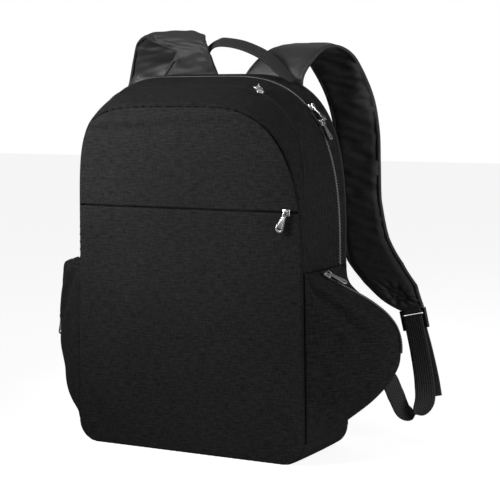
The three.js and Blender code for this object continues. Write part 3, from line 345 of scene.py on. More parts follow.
class Skin:
    """The bag's skin as two grids of points, read at any share of the outline and depth."""

    def __init__(self, form: BagForm) -> None:
        """Samples the form at every millimetre of its depth."""
        self.form = form
        self.depths = np.linspace(0, form.depth, int(form.depth) + 1)
        self.grids = {part: np.stack([form.outline(d, part) for d in self.depths]) for part in Part}

    def flat(self, part: Part, share: Points, depth: Points) -> Points:
        """Across and up at a share of a part and a depth."""
        grid = self.grids[part]
        rows, columns = grid.shape[:2]
        a = np.clip(depth / self.form.depth, 0, 1) * (rows - 1)
        b = np.clip(share, 0, 1) * (columns - 1)
        i = np.minimum(a.astype(int), rows - 2)
        j = np.minimum(b.astype(int), columns - 2)
        s = (a - i)[..., None]
        t = (b - j)[..., None]
        near = grid[i, j] * (1 - t) + grid[i, j + 1] * t
        far = grid[i + 1, j] * (1 - t) + grid[i + 1, j + 1] * t
        return near * (1 - s) + far * s

    def point(self, part: Part, share: Points, depth: Points, out: Points | float = 0.0) -> Points:
        """Points of the skin.

        Args:
            part: The arch or the base.
            share: Places along the part from 0 to 1.
            depth: Millimetres from the front seam.
            out: How far to stand off the skin.

        Returns:
            Points in the bag's frame, in millimetres.
        """
        share, depth = np.broadcast_arrays(np.asarray(share, float), np.asarray(depth, float))
        here = self.flat(part, share, depth)
        away = self.outward(part, share, depth)
        y = self.form.front_y + depth
        still = np.stack([here[..., 0], y, here[..., 1]], axis=-1)
        return still + away * np.asarray(out, float)[..., None]

    def outward(self, part: Part, share: Points, depth: Points) -> Points:
        """Direction square to the outline, away from the bag."""
        step = 0.004
        run = self.flat(part, share + step, depth) - self.flat(part, share - step, depth)
        return unit(np.stack([-run[..., 1], np.zeros(run.shape[:-1]), run[..., 0]], axis=-1))

    def share_at(self, height: float, side: Side, depth: float) -> float:
        """Share of the arch at a height on one side."""
        shares = np.linspace(0, 0.5, 2001) if side is Side.LEFT else np.linspace(1, 0.5, 2001)
        heights = self.flat(Part.ARCH, shares, np.full(shares.shape, depth))[:, 1]
        return float(shares[int(np.argmax(heights >= height))])

    def side_x(self, height: Points, depth: Points) -> Points:
        """Half width of the bag below its spring height."""
        table = np.array(self.form.sections)
        width = np.interp(depth / self.form.depth, table[:, 0], table[:, 1])
        rise = np.clip(height / self.form.spring_height, 0, 1)
        return width * self.form.width / 2 + self.form.base_flare * (1 - rise)

    def closed(self, depth: float, inset: float, count: int) -> Points:
        """The whole outline at a depth, drawn in by an inset, as a closed even line.

        Args:
            depth: Millimetres from the front seam.
            inset: How far inwards.
            count: Number of points.

        Returns:
            Points across and up.
        """
        share = np.linspace(0, 1, 400)
        arch = self.point(Part.ARCH, share, np.full(400, depth), np.full(400, -inset))[:-1]
        base = self.point(Part.BASE, share, np.full(400, depth), np.full(400, -inset))
        return spread(np.vstack([arch, base])[:, [0, 2]], count)[:-1]

    def tube(self, depth: float, inset: float, radius: float, count: int, sides: int) -> Points:
        """Rings of a round tube along the whole outline.

        Args:
            depth: Millimetres from the front seam to the tube's middle.
            inset: How far inwards its middle lies.
            radius: Its radius.
            count: Number of rings.
            sides: Points in a ring.

        Returns:
            The rings: ring, point, coordinate.
        """
        line = self.closed(depth, inset, count)
        run = unit(np.roll(line, -1, axis=0) - np.roll(line, 1, axis=0))
        out = np.stack([-run[:, 1], run[:, 0]], axis=1)
        angle = np.linspace(0, 2 * math.pi, sides + 1)[:-1]
        rings = np.zeros((len(line), sides, 3))
        for plane, axis in ((0, 0), (1, 2)):
            rings[..., axis] = line[:, None, plane] + out[:, None, plane] * radius * np.cos(angle)
        rings[..., 1] = self.form.front_y + depth + radius * np.sin(angle)
        return rings


# ---------------------------------------------------------------------------------------------
# Meshes
# ---------------------------------------------------------------------------------------------


def grid_faces(rows: int, columns: int, round_columns: bool = False, round_rows: bool = False) -> Points:
    """Four-sided faces of a grid of points numbered row by row.

    Args:
        rows: Number of rows.
        columns: Number of points in a row.
        round_columns: Joins each row's last point to its first.
        round_rows: Joins the last row to the first.

    Returns:
        One face a row.
    """
    i = np.arange(rows if round_rows else rows - 1)[:, None]
    j = np.arange(columns if round_columns else columns - 1)[None, :]
    a = i * columns + j
    b = (i + 1) % rows * columns + j
    c = (i + 1) % rows * columns + (j + 1) % columns
    d = i * columns + (j + 1) % columns
    return np.stack(np.broadcast_arrays(a, b, c, d), axis=-1).reshape(-1, 4)


def square_sheet(outline: Points, shares: Points) -> tuple[Points, int]:
    """Places inside a closed outline, spread as a square net whose rings shrink to its middle.

    Args:
        outline: The outline's points across and up.
        shares: How far each ring lies from the middle, from 0 up to 1 at the outline.

    Returns:
        The places, row by row, and the number in a row.
    """
    low, high = outline.min(axis=0), outline.max(axis=0)
    middle = (low + high) / 2
    scaled = (outline - middle) / (high - low)
    corners = [int(np.argmax(scaled @ np.array(way))) for way in ((-1, -1), (1, -1), (1, 1), (-1, 1))]
    turned = np.roll(outline, -corners[0], axis=0)
    stops = [(k - corners[0]) % len(outline) for k in corners]
    if stops[1] > stops[3]:
        turned = np.roll(turned[::-1], 1, axis=0)
        stops = [(len(outline) - k) % len(outline) for k in stops]
    turned = np.vstack([turned, turned[:1]])
    ends = stops[1:] + [len(outline)]
    last = len(shares) - 1
    legs = [spread(turned[a:b + 1], 2 * last) for a, b in zip(stops, ends)]
    size = 2 * last + 1
    step = np.arange(-last, last + 1)
    across, up = np.meshgrid(step, step)
    ring = np.maximum(np.abs(across), np.abs(up))
    safe = np.maximum(ring, 1)
    places = np.zeros((size, size, 2))
    tests = ((up == -ring, across), (across == ring, up), (up == ring, -across), (across == -ring, -up))
    for (here, along), leg in zip(tests, legs):
        t = (along / safe + 1) * last
        point = np.stack([np.interp(t, np.arange(2 * last + 1), leg[:, k]) for k in range(2)], axis=-1)
        places = np.where(here[..., None], point, places)
    places = middle + shares[ring][..., None] * (places - middle)
    return places, size


def make_piece(name: str, points: Points, faces: Sequence[Sequence[int]], uv: Points | None = None,
               inside: Points | None = None) -> bpy.types.Object:
    """Mesh object from points in millimetres, with its faces turned outwards.

    Args:
        name: The piece's name.
        points: The points.
        faces: The faces as rows of point numbers.
        uv: A place on the cloth for each point, in metres.
        inside: A point that lies inside an open surface; a closed one needs none.

    Returns:
        The object, linked to the scene at the origin.
    """
    points = np.asarray(points, float).reshape(-1, 3)
    faces = [tuple(int(k) for k in face) for face in faces]
    corners = np.array([face[:3] for face in faces])
    a, b, c = (points[corners[:, k]] for k in range(3))
    normal = np.cross(b - a, c - a)
    middle = (a + b + c) / 3
    start = np.zeros(3) if inside is None else np.asarray(inside, float)
    if np.sum(normal * (middle - start)) < 0:
        faces = [face[::-1] for face in faces]
    mesh = bpy.data.meshes.new(name)
    mesh.from_pydata((points * MM).tolist(), [], faces)
    if uv is not None:
        layer = mesh.uv_layers.new(name="UVMap")
        loops = np.zeros(len(mesh.loops), int)
        mesh.loops.foreach_get("vertex_index", loops)
        layer.data.foreach_set("uv", np.asarray(uv, float).reshape(-1, 2)[loops].ravel())
    mesh.polygons.foreach_set("use_smooth", [True] * len(mesh.polygons))
    mesh.update()
    piece = bpy.data.objects.new(name, mesh)
    bpy.context.scene.collection.objects.link(piece)
    return piece


def loft(rings: Points, closed: bool = False) -> tuple[Points, list[Sequence[int]]]:
    """Points and faces of a solid through closed rings.

    Args:
        rings: Rings of points: ring, point, coordinate.
        closed: Joins the last ring to the first instead of capping both.

    Returns:
        The points and the faces.
    """
    count, sides = rings.shape[:2]
    points = rings.reshape(-1, 3)
    faces: list[Sequence[int]] = list(grid_faces(count, sides, round_columns=True, round_rows=closed))
    if not closed:
        faces.append(list(range(sides))[::-1])
        faces.append([(count - 1) * sides + k for k in range(sides)])
    return points, faces


def ring_uv(rings: Points) -> Points:
    """Place on the cloth for each point of a loft: round the ring and along the run, in metres."""
    middle = rings.mean(axis=1)
    run = lengths_along(middle) * MM
    turn = np.linalg.norm(np.diff(rings[len(rings) // 2], axis=0), axis=1)
    around = np.concatenate([[0.0], np.cumsum(turn)]) * MM
    return np.stack(np.broadcast_arrays(around[None, :], run[:, None]), axis=-1)


def make_plain(piece: bpy.types.Object) -> bpy.types.Object:
    """Turns an object's evaluated shape into its own plain mesh and removes its modifiers."""
    bpy.context.view_layer.update()
    graph = bpy.context.evaluated_depsgraph_get()
    result = bpy.data.meshes.new_from_object(piece.evaluated_get(graph))
    piece.modifiers.clear()
    piece.data = result
    return piece


def give(piece: bpy.types.Object, finish: bpy.types.Material, replaced: Sequence[str] = (),
         body: str = BAG_BODY) -> bpy.types.Object:
    """Dresses a piece and sets it on its body.

    Args:
        piece: The piece.
        finish: Its material.
        replaced: Solids that the piece stands for.
        body: The body that carries it.

    Returns:
        The piece.
    """
    if not piece.data.materials:
        piece.data.materials.append(finish)
    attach(piece, body)
    if replaced:
        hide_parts(*replaced)
    LOG.info("%s: %d faces", piece.name, len(piece.data.polygons))
    return piece


def lofted(name: str, rings: Points, finish: bpy.types.Material, replaced: Sequence[str] = (),
           closed: bool = False, uv: Points | None = None) -> bpy.types.Object:
    """A dressed solid through rings of points.

    Args:
        name: The piece's name.
        rings: Rings of points: ring, point, coordinate.
        finish: Its material.
        replaced: Solids that the piece stands for.
        closed: Joins the last ring to the first.
        uv: A place on the cloth for each point; without one it is taken round the rings.

    Returns:
        The piece.
    """
    points, faces = loft(rings, closed)
    piece = make_piece(name, points, faces, ring_uv(rings) if uv is None else uv)
    return give(piece, finish, replaced)


def thicken(piece: bpy.types.Object, wall: float) -> None:
    """Gives an open surface its wall, inwards, in millimetres."""
    solid = piece.modifiers.new("wall", "SOLIDIFY")
    solid.thickness = wall * MM
    solid.offset = -1
    make_plain(piece)
    piece.data.polygons.foreach_set("use_smooth", [True] * len(piece.data.polygons))


def subdivide(piece: bpy.types.Object) -> None:
    """Smooths a piece with one step of subdivision."""
    smooth = piece.modifiers.new("smooth", "SUBSURF")
    smooth.levels = 1
    smooth.render_levels = 1
    make_plain(piece)


def rolled(away: Points, radius: float, drop: float) -> Points:
    """How far a cloth edge rolls in at a distance from its seam.

    Args:
        away: Distances from the seam.
        radius: Width of the roll.
        drop: Depth of the roll at the seam.

    Returns:
        The drops.
    """
    share = np.clip(1 - away / radius, 0, 1)
    return drop * (1 - np.sqrt(np.maximum(1 - share ** 2, 0)))


def puff(piece: bpy.types.Object, held: Points, pressure: float, slack: float, cap: float) -> None:
    """Fills a cloth skin with a short simulation and keeps the result in its mesh.

    Args:
        piece: The piece, a mesh.
        held: How firmly each point is held, from 0 to 1.
        pressure: Pressure inside.
        slack: Share by which the cloth is cut larger than its shape.
        cap: The furthest that a point may move, in millimetres.
    """
    rest = np.zeros(len(piece.data.vertices) * 3)
    piece.data.vertices.foreach_get("co", rest)
    group = piece.vertex_groups.new(name="held")
    for k, weight in enumerate(held):
        if weight > 0:
            group.add([k], float(weight), "REPLACE")
    cloth = piece.modifiers.new("filling", "CLOTH")
    cloth.settings.quality = 5
    cloth.settings.mass = 0.3
    cloth.settings.tension_stiffness = 18
    cloth.settings.compression_stiffness = 12
    cloth.settings.shear_stiffness = 6
    cloth.settings.bending_stiffness = 0.6
    cloth.settings.use_pressure = pressure != 0
    cloth.settings.uniform_pressure_force = pressure
    cloth.settings.shrink_min = -slack
    cloth.settings.vertex_group_mass = "held"
    cloth.settings.effector_weights.gravity = 0
    cloth.collision_settings.use_collision = False
    cloth.point_cache.frame_start = 1
    cloth.point_cache.frame_end = 24
    scene = bpy.context.scene
    for step in range(1, 21):
        scene.frame_set(step)
    bpy.context.view_layer.update()
    graph = bpy.context.evaluated_depsgraph_get()
    result = bpy.data.meshes.new_from_object(piece.evaluated_get(graph))
    moved = np.zeros(len(result.vertices) * 3)
    result.vertices.foreach_get("co", moved)
    bpy.data.meshes.remove(result)
    piece.modifiers.clear()
    piece.vertex_groups.clear()
    scene.frame_set(1)
    shift = (moved - rest).reshape(-1, 3)
    length = np.linalg.norm(shift, axis=1, keepdims=True)
    shift *= np.minimum(1, cap * MM / np.maximum(length, 1e-9))
    piece.data.vertices.foreach_set("co", rest + shift.ravel())
    piece.data.update()


# ---------------------------------------------------------------------------------------------
# Shader groups and finishes
# ---------------------------------------------------------------------------------------------


class NodeBench:
    """Short hand for wiring nodes in a tree."""

    def __init__(self, tree: bpy.types.NodeTree) -> None:
        """Keeps the tree."""
        self.tree = tree

    def node(self, kind: str, **values: object) -> bpy.types.Node:
        """Adds a node and sets its properties.

        Args:
            kind: The node's type name.
            **values: Properties of the node.

        Returns:
            The node.
        """
        made = self.tree.nodes.new(kind)
        for key, value in values.items():
            setattr(made, key, value)
        return made

    def link(self, source: object, target: object) -> None:
        """Links an output to an input, or sets a plain value on it."""
        if isinstance(source, bpy.types.NodeSocket):
            self.tree.links.new(source, target)
        else:
            target.default_value = source

    def wired(self, kind: str, inputs: dict[str | int, object], **values: object) -> bpy.types.Node:
        """Adds a node, sets its properties and feeds its inputs.

        Args:
            kind: The node's type name.
            inputs: An output or a plain value for each named or numbered input.
            **values: Properties of the node.

        Returns:
            The node.
        """
        made = self.node(kind, **values)
        for key, source in inputs.items():
            self.link(source, made.inputs[key])
        return made

    def math(self, operation: str, *values: object) -> bpy.types.NodeSocket:
        """Adds a math node on numbers or sockets and returns its output."""
        return self.wired("ShaderNodeMath", dict(enumerate(values)), operation=operation).outputs[0]

    def ridge(self, value: object) -> bpy.types.NodeSocket:
        """Adds a row of humps, one for each whole step of a value, and returns their height."""
        return self.math("ABSOLUTE", self.math("SINE", self.math("MULTIPLY", value, math.pi)))

    def noise(self, place: object, scale: float, detail: float = 2.0) -> bpy.types.NodeSocket:
        """Adds a noise texture and returns its value."""
        inputs = {"Vector": place, "Scale": scale, "Detail": detail}
        return self.wired("ShaderNodeTexNoise", inputs, noise_dimensions="3D").outputs["Fac"]

    def streaks(self, place: object, scale: tuple[float, float, float],
                detail: float) -> bpy.types.NodeSocket:
        """Adds a noise texture that is scaled along each axis on its own and returns its value."""
        stretched = self.wired("ShaderNodeMapping", {"Vector": place, "Scale": scale})
        return self.noise(stretched.outputs[0], 1.0, detail)

    def scaled(self, colour: object, share: object) -> bpy.types.NodeSocket:
        """Adds a colour or a direction multiplied by a share and returns it."""
        return self.wired("ShaderNodeVectorMath", {0: colour, "Scale": share}, operation="SCALE").outputs[0]


def new_group(name: str, inputs: Sequence[tuple[str, str, object]], outputs: Sequence[tuple[str, str]],
              kind: str = "ShaderNodeTree") -> tuple[NodeBench, bpy.types.Node, bpy.types.Node]:
    """Starts a node group with named sockets.

    Args:
        name: The group's name.
        inputs: Name, socket type and default of each input.
        outputs: Name and socket type of each output.
        kind: The tree's type.

    Returns:
        The bench, the input node and the output node.
    """
    tree = bpy.data.node_groups.new(name, kind)
    for label, socket, default in inputs:
        made = tree.interface.new_socket(label, in_out="INPUT", socket_type=socket)
        if default is not None:
            made.default_value = default
    for label, socket in outputs:
        tree.interface.new_socket(label, in_out="OUTPUT", socket_type=socket)
    bench = NodeBench(tree)
    return bench, bench.node("NodeGroupInput"), bench.node("NodeGroupOutput")


class ShaderKit:
    """The shader groups that the finishes share."""

    LONG_SLUBS = (95.0, 560.0, 1.0)
    CROSS_SLUBS = (620.0, 120.0, 1.0)

    def __init__(self) -> None:
        """Builds each group once."""
        self.weave = self._weave()
        self.wear = self._wear()
        self.ribs = self._ribs()

    @staticmethod
    def _weave() -> bpy.types.NodeTree:
        """Plain weave over the cloth's own map: yarns over and under each other, with uneven slubs."""
        bench, ins, outs = new_group("Plain weave", [
            ("Map", "NodeSocketVector", None), ("Threads", "NodeSocketFloat", 1400.0),
            ("Slub", "NodeSocketFloat", 1.0)], [("Height", "NodeSocketFloat"), ("Shade", "NodeSocketFloat")])
        split = bench.wired("ShaderNodeSeparateXYZ", {0: ins.outputs["Map"]})
        warp = bench.math("MULTIPLY", split.outputs[0], ins.outputs["Threads"])
        weft = bench.math("MULTIPLY", split.outputs[1], ins.outputs["Threads"])
        over, under = bench.ridge(warp), bench.ridge(weft)
        cells = bench.math("ADD", bench.math("FLOOR", warp), bench.math("FLOOR", weft))
        turn = bench.math("MODULO", bench.math("ABSOLUTE", cells), 2.0)
        kept = bench.math("MULTIPLY", over, turn)
        other = bench.math("MULTIPLY", under, bench.math("SUBTRACT", 1.0, turn))
        yarn = bench.math("ADD", kept, other)
        slub = bench.streaks(ins.outputs["Map"], ShaderKit.LONG_SLUBS, 2.0)
        cross = bench.streaks(ins.outputs["Map"], ShaderKit.CROSS_SLUBS, 1.0)
        both = bench.math("ADD", bench.math("MULTIPLY", slub, 0.62), bench.math("MULTIPLY", cross, 0.38))
        uneven = bench.math("MULTIPLY_ADD", bench.math("SUBTRACT", both, 0.5), 2.4, 0.5)
        sized = bench.math("MULTIPLY", uneven, ins.outputs["Slub"])
        bench.link(bench.math("ADD", bench.math("MULTIPLY", yarn, 0.5), sized), outs.inputs["Height"])
        bench.link(bench.math("MULTIPLY", bench.math("ADD", 0.6, bench.math("MULTIPLY", yarn, 0.4)),
                              bench.math("MULTIPLY", uneven, 2.0)), outs.inputs["Shade"])
        return bench.tree

    @staticmethod
    def _wear() -> bpy.types.NodeTree:
        """Slow changes of shade over an object, with faint lint."""
        bench, ins, outs = new_group("Handled shade", [
            ("Size", "NodeSocketFloat", 9.0), ("Lint", "NodeSocketFloat", 0.15)],
            [("Shade", "NodeSocketFloat")])
        place = bench.node("ShaderNodeTexCoord")
        cloud = bench.noise(place.outputs["Object"], ins.outputs["Size"], 3.0)
        lint = bench.noise(place.outputs["Object"], 420.0, 1.0)
        speck = bench.math("MULTIPLY", bench.math("GREATER_THAN", lint, 0.74), ins.outputs["Lint"])
        bench.link(bench.math("ADD", cloud, speck), outs.inputs["Shade"])
        return bench.tree

    @staticmethod
    def _ribs() -> bpy.types.NodeTree:
        """Ribs of a woven band: rows across it, broken into picks along it."""
        bench, ins, outs = new_group("Band ribs", [
            ("Map", "NodeSocketVector", None), ("Pitch", "NodeSocketFloat", 0.0016),
            ("Picks", "NodeSocketFloat", 0.0021)], [("Height", "NodeSocketFloat")])
        split = bench.wired("ShaderNodeSeparateXYZ", {0: ins.outputs["Map"]})
        along = bench.math("DIVIDE", split.outputs[1], ins.outputs["Pitch"])
        across = bench.math("DIVIDE", split.outputs[0], ins.outputs["Picks"])
        step = bench.math("MULTIPLY", bench.math("MODULO", bench.math("FLOOR", across), 2.0), 0.5)
        row, pick = bench.ridge(bench.math("ADD", along, step)), bench.ridge(across)
        bench.link(bench.math("MULTIPLY", row, bench.math("POWER", pick, 0.5)), outs.inputs["Height"])
        return bench.tree


@dataclass(frozen=True)
class ClothFinish:
    """Woven cloth: colour, gloss and how strongly its yarns and slubs show."""

    name: str
    colour: tuple[float, float, float]
    roughness: float = 0.82
    specular: float = 0.35
    sheen: float = 0.12
    threads: float = 1400.0
    slub: float = 1.0
    relief: float = 0.00025
    contrast: float = 0.5

    def build(self, kit: ShaderKit) -> bpy.types.Material:
        """Makes the material.

        Args:
            kit: The shared shader groups.

        Returns:
            The material.
        """
        material, bench, surface = start_material(self.name, {
            "Specular IOR Level": self.specular, "Sheen Weight": self.sheen, "Sheen Roughness": 0.45,
            "Sheen Tint": (0.8, 0.8, 0.82, 1.0)})
        own = bench.node("ShaderNodeUVMap", uv_map="UVMap")
        fed = {"Map": own.outputs[0], "Threads": self.threads, "Slub": self.slub}
        weave = bench.wired("ShaderNodeGroup", fed, node_tree=kit.weave)
        wear = bench.node("ShaderNodeGroup", node_tree=kit.wear)
        level = bench.math("MULTIPLY_ADD", wear.outputs["Shade"], 0.5, 0.75)
        yarn = bench.math("MULTIPLY_ADD", weave.outputs["Shade"], self.contrast, 1.0 - self.contrast * 0.8)
        shade = bench.math("MULTIPLY", level, yarn)
        bench.link(bench.scaled(self.colour, shade), surface.inputs["Base Color"])
        bench.link(bench.math("MULTIPLY_ADD", weave.outputs["Shade"], 0.1, self.roughness - 0.08),
                   surface.inputs["Roughness"])
        bump(bench, surface, weave.outputs["Height"], self.relief, 0.7)
        return material


@dataclass(frozen=True)
class BandFinish:
    """Ribbed webbing."""

    name: str
    colour: tuple[float, float, float]
    pitch: float = 0.0026
    picks: float = 0.0028
    relief: float = 0.0009

    def build(self, kit: ShaderKit) -> bpy.types.Material:
        """Makes the material.

        Args:
            kit: The shared shader groups.

        Returns:
            The material.
        """
        material, bench, surface = start_material(self.name, {
            "Sheen Weight": 0.02, "Specular IOR Level": 0.35})
        own = bench.node("ShaderNodeUVMap", uv_map="UVMap")
        fed = {"Map": own.outputs[0], "Pitch": self.pitch, "Picks": self.picks}
        ribs = bench.wired("ShaderNodeGroup", fed, node_tree=kit.ribs)
        wear = bench.node("ShaderNodeGroup", node_tree=kit.wear)
        level = bench.math("MULTIPLY_ADD", wear.outputs["Shade"], 0.4, 0.8)
        shade = bench.math("MULTIPLY", level, bench.math("MULTIPLY_ADD", ribs.outputs["Height"], 1.9, 0.12))
        bench.link(bench.scaled(self.colour, shade), surface.inputs["Base Color"])
        bench.link(bench.math("MULTIPLY_ADD", ribs.outputs["Height"], -0.2, 0.75),
                   surface.inputs["Roughness"])
        bump(bench, surface, ribs.outputs["Height"], self.relief, 0.9)
        return material


@dataclass(frozen=True)
class HardFinish:
    """Moulded plastic or cast metal with faint unevenness."""

    name: str
    colour: tuple[float, float, float]
    roughness: float
    metallic: float = 0.0
    grain: float = 900.0
    relief: float = 0.00004

    def build(self, kit: ShaderKit) -> bpy.types.Material:
        """Makes the material.

        Args:
            kit: The shared shader groups.

        Returns:
            The material.
        """
        material, bench, surface = start_material(self.name, {"Metallic": self.metallic})
        place = bench.node("ShaderNodeTexCoord")
        fine = bench.noise(place.outputs["Object"], self.grain, 3.0)
        wear = bench.wired("ShaderNodeGroup", {"Size": 60.0, "Lint": 0.0}, node_tree=kit.wear)
        level = bench.math("MULTIPLY_ADD", wear.outputs["Shade"], 0.3, 0.85)
        bench.link(bench.scaled(self.colour, level), surface.inputs["Base Color"])
        bench.link(bench.math("MULTIPLY_ADD", fine, 0.2, self.roughness - 0.1), surface.inputs["Roughness"])
        bump(bench, surface, fine, self.relief, 0.5)
        return material


def start_material(name: str, values: dict[str, object]) -> tuple[bpy.types.Material, NodeBench,
                                                                 bpy.types.Node]:
    """A new material with its bench and its surface shader, whose named inputs are set to values."""
    material = bpy.data.materials.new(name)
    material.use_nodes = True
    surface = material.node_tree.nodes["Principled BSDF"]
    for key, value in values.items():
        surface.inputs[key].default_value = value
    return material, NodeBench(material.node_tree), surface


def bump(bench: NodeBench, surface: bpy.types.Node, height: object, relief: float, strength: float) -> None:
    """Feeds a height in metres into a surface's normal.

    Args:
        bench: The material's bench.
        surface: The surface shader.
        height: The height's socket.
        relief: Depth of the relief in metres.
        strength: Share of the relief that shows.
    """
    made = bench.wired("ShaderNodeBump", {"Strength": strength, "Distance": relief, "Height": height})
    bench.link(made.outputs[0], surface.inputs["Normal"])


class Finishes:
    """Every finish of the bag, built once."""

    def __init__(self) -> None:
        """Builds the shader groups and the materials."""
        kit = ShaderKit()
        self.front = ClothFinish("Front cloth", (0.0185, 0.0185, 0.0188), specular=0.1, sheen=0.006,
                                 contrast=0.8, slub=1.4).build(kit)
        self.cloth = ClothFinish("Body cloth", (0.0142, 0.0142, 0.0145), specular=0.09, sheen=0.005,
                                 contrast=1.0, slub=1.5).build(kit)
        self.piping = ClothFinish("Piping cloth", (0.012, 0.012, 0.0123), roughness=0.55, specular=0.35,
                                  sheen=0.02, slub=0.4, contrast=0.3).build(kit)
        self.strap = ClothFinish("Strap cloth", (0.028, 0.028, 0.0284), roughness=0.42, specular=0.5,
                                 sheen=0.08, threads=2200.0, slub=0.35, relief=0.00012,
                                 contrast=0.25).build(kit)
        # Strap lining: the inner face's own cloth, partly painted shade, its colour and gloss set to stand in
        # for the shade under the strap.
        self.lining = ClothFinish("Strap lining", (0.033, 0.033, 0.0335), roughness=0.5, specular=0.4,
                                  sheen=0.02, threads=1500.0, slub=0.5, contrast=0.5).build(kit)
        self.binding = ClothFinish("Binding tape", (0.024, 0.024, 0.0245), roughness=0.45, specular=0.45,
                                   sheen=0.04, threads=1800.0, slub=0.3, contrast=0.3).build(kit)
        self.back = ClothFinish("Back cloth", (0.016, 0.016, 0.0163), specular=0.2, sheen=0.02,
                                threads=900.0, relief=0.0005).build(kit)
        self.tape = ClothFinish("Zip tape", (0.01, 0.01, 0.0102), roughness=0.7, specular=0.25, sheen=0.01,
                                threads=1900.0, slub=0.3, contrast=0.3).build(kit)
        self.webbing = BandFinish("Webbing", (0.023, 0.023, 0.0234)).build(kit)
        self.coil = HardFinish("Nylon coil", (0.27, 0.27, 0.273), 0.4).build(kit)
        self.dark_coil = HardFinish("Dark nylon coil", (0.007, 0.007, 0.0071), 0.8).build(kit)
        self.thread = HardFinish("Sewing thread", (0.016, 0.016, 0.0163), 0.6, relief=0.0001).build(kit)
        self.plastic = HardFinish("Moulded plastic", (0.006, 0.006, 0.006), 0.45).build(kit)
        self.metal = HardFinish("Bright metal", (0.86, 0.86, 0.87), 0.24, metallic=1.0).build(kit)


# ---------------------------------------------------------------------------------------------
# Rows of stitches and teeth
# ---------------------------------------------------------------------------------------------


class RowKind(Enum):
    """What is repeated along a row."""

    STITCH = "stitch"
    TOOTH = "tooth"


class Rows:
    """Geometry Nodes that repeat a small form along a line, turned to the line and to the cloth."""

    OUT = "out"

    def __init__(self) -> None:
        """Builds the tree once."""
        self.tree, self.ids = self._build()

    @staticmethod
    def _build() -> tuple[bpy.types.NodeTree, dict[str, str]]:
        """The tree and the identifiers of its named inputs."""
        inputs = [("Geometry", "NodeSocketGeometry", None), ("Pitch", "NodeSocketFloat", 0.003),
                  ("Size", "NodeSocketVector", (0.001, 0.0004, 0.0004)), ("Stagger", "NodeSocketFloat", 0.0),
                  ("Finish", "NodeSocketMaterial", None)]
        bench, ins, outs = new_group("Row along a seam", inputs, [("Geometry", "NodeSocketGeometry")],
                                     "GeometryNodeTree")
        line = bench.wired("GeometryNodeMeshToCurve", {"Mesh": ins.outputs["Geometry"]})
        even = bench.node("GeometryNodeResampleCurve")
        if "Mode" in even.inputs:
            even.inputs["Mode"].default_value = "Length"
        else:
            even.mode = "LENGTH"
        bench.link(line.outputs["Curve"], even.inputs["Curve"])
        bench.link(ins.outputs["Pitch"], even.inputs["Length"])
        tangent = bench.node("GeometryNodeInputTangent").outputs[0]
        away = bench.wired("GeometryNodeInputNamedAttribute", {"Name": Rows.OUT},
                           data_type="FLOAT_VECTOR").outputs["Attribute"]
        first = bench.wired("FunctionNodeAlignRotationToVector", {"Vector": tangent}, axis="X")
        second = bench.wired("FunctionNodeAlignRotationToVector",
                             {"Rotation": first.outputs[0], "Vector": away}, axis="Z", pivot_axis="X")
        ball = bench.wired("GeometryNodeMeshUVSphere", {"Segments": 8, "Rings": 5, "Radius": 1.0})
        number = bench.node("GeometryNodeInputIndex")
        odd = bench.math("MODULO", number.outputs[0], 2.0)
        off = bench.math("MULTIPLY", bench.math("MULTIPLY_ADD", odd, 2.0, -1.0), ins.outputs["Stagger"])
        across = bench.wired("ShaderNodeVectorMath", {0: away, 1: tangent}, operation="CROSS_PRODUCT")
        moved = bench.wired("GeometryNodeSetPosition", {
            "Geometry": even.outputs[0], "Offset": bench.scaled(across.outputs[0], off)})
        placed = bench.wired("GeometryNodeInstanceOnPoints", {
            "Points": moved.outputs[0], "Instance": ball.outputs[0], "Rotation": second.outputs[0],
            "Scale": ins.outputs["Size"]})
        real = bench.wired("GeometryNodeRealizeInstances", {0: placed.outputs[0]})
        smooth = bench.wired("GeometryNodeSetShadeSmooth", {0: real.outputs[0]})
        dressed = bench.wired("GeometryNodeSetMaterial", {
            "Geometry": smooth.outputs[0], "Material": ins.outputs["Finish"]})
        bench.link(dressed.outputs[0], outs.inputs[0])
        ids = {item.name: item.identifier for item in bench.tree.interface.items_tree
               if item.in_out == "INPUT"}
        return bench.tree, ids

    def along(self, name: str, lines: Sequence[tuple[Points, Points]], kind: RowKind,
              finish: bpy.types.Material, pitch: float, size: tuple[float, float, float],
              stagger: float = 0.0) -> bpy.types.Object:
        """Repeats the small form along lines.

        Args:
            name: The piece's name.
            lines: Points and outward directions of each line, in millimetres.
            kind: What the row is made of.
            finish: Its material.
            pitch: Distance from one to the next, in millimetres.
            size: Half sizes along, across and out, in millimetres.
            stagger: How far odd and even ones stand apart across the line.

        Returns:
            The piece as a plain mesh.
        """
        points = np.vstack([line for line, _ in lines])
        outs = np.vstack([unit(out) for _, out in lines])
        edges, start = [], 0
        for line, _ in lines:
            edges += [(start + k, start + k + 1) for k in range(len(line) - 1)]
            start += len(line)
        mesh = bpy.data.meshes.new(name)
        mesh.from_pydata((points * MM).tolist(), edges, [])
        attribute = mesh.attributes.new(self.OUT, "FLOAT_VECTOR", "POINT")
        attribute.data.foreach_set("vector", outs.astype(np.float32).ravel())
        piece = bpy.data.objects.new(name, mesh)
        bpy.context.scene.collection.objects.link(piece)
        modifier = piece.modifiers.new(kind.value, "NODES")
        modifier.node_group = self.tree
        modifier[self.ids["Pitch"]] = pitch * MM
        modifier[self.ids["Size"]] = [value * MM for value in size]
        modifier[self.ids["Stagger"]] = stagger * MM
        modifier[self.ids["Finish"]] = finish
        make_plain(piece)
        return piece


# ---------------------------------------------------------------------------------------------
# Sub-assemblies
# ---------------------------------------------------------------------------------------------


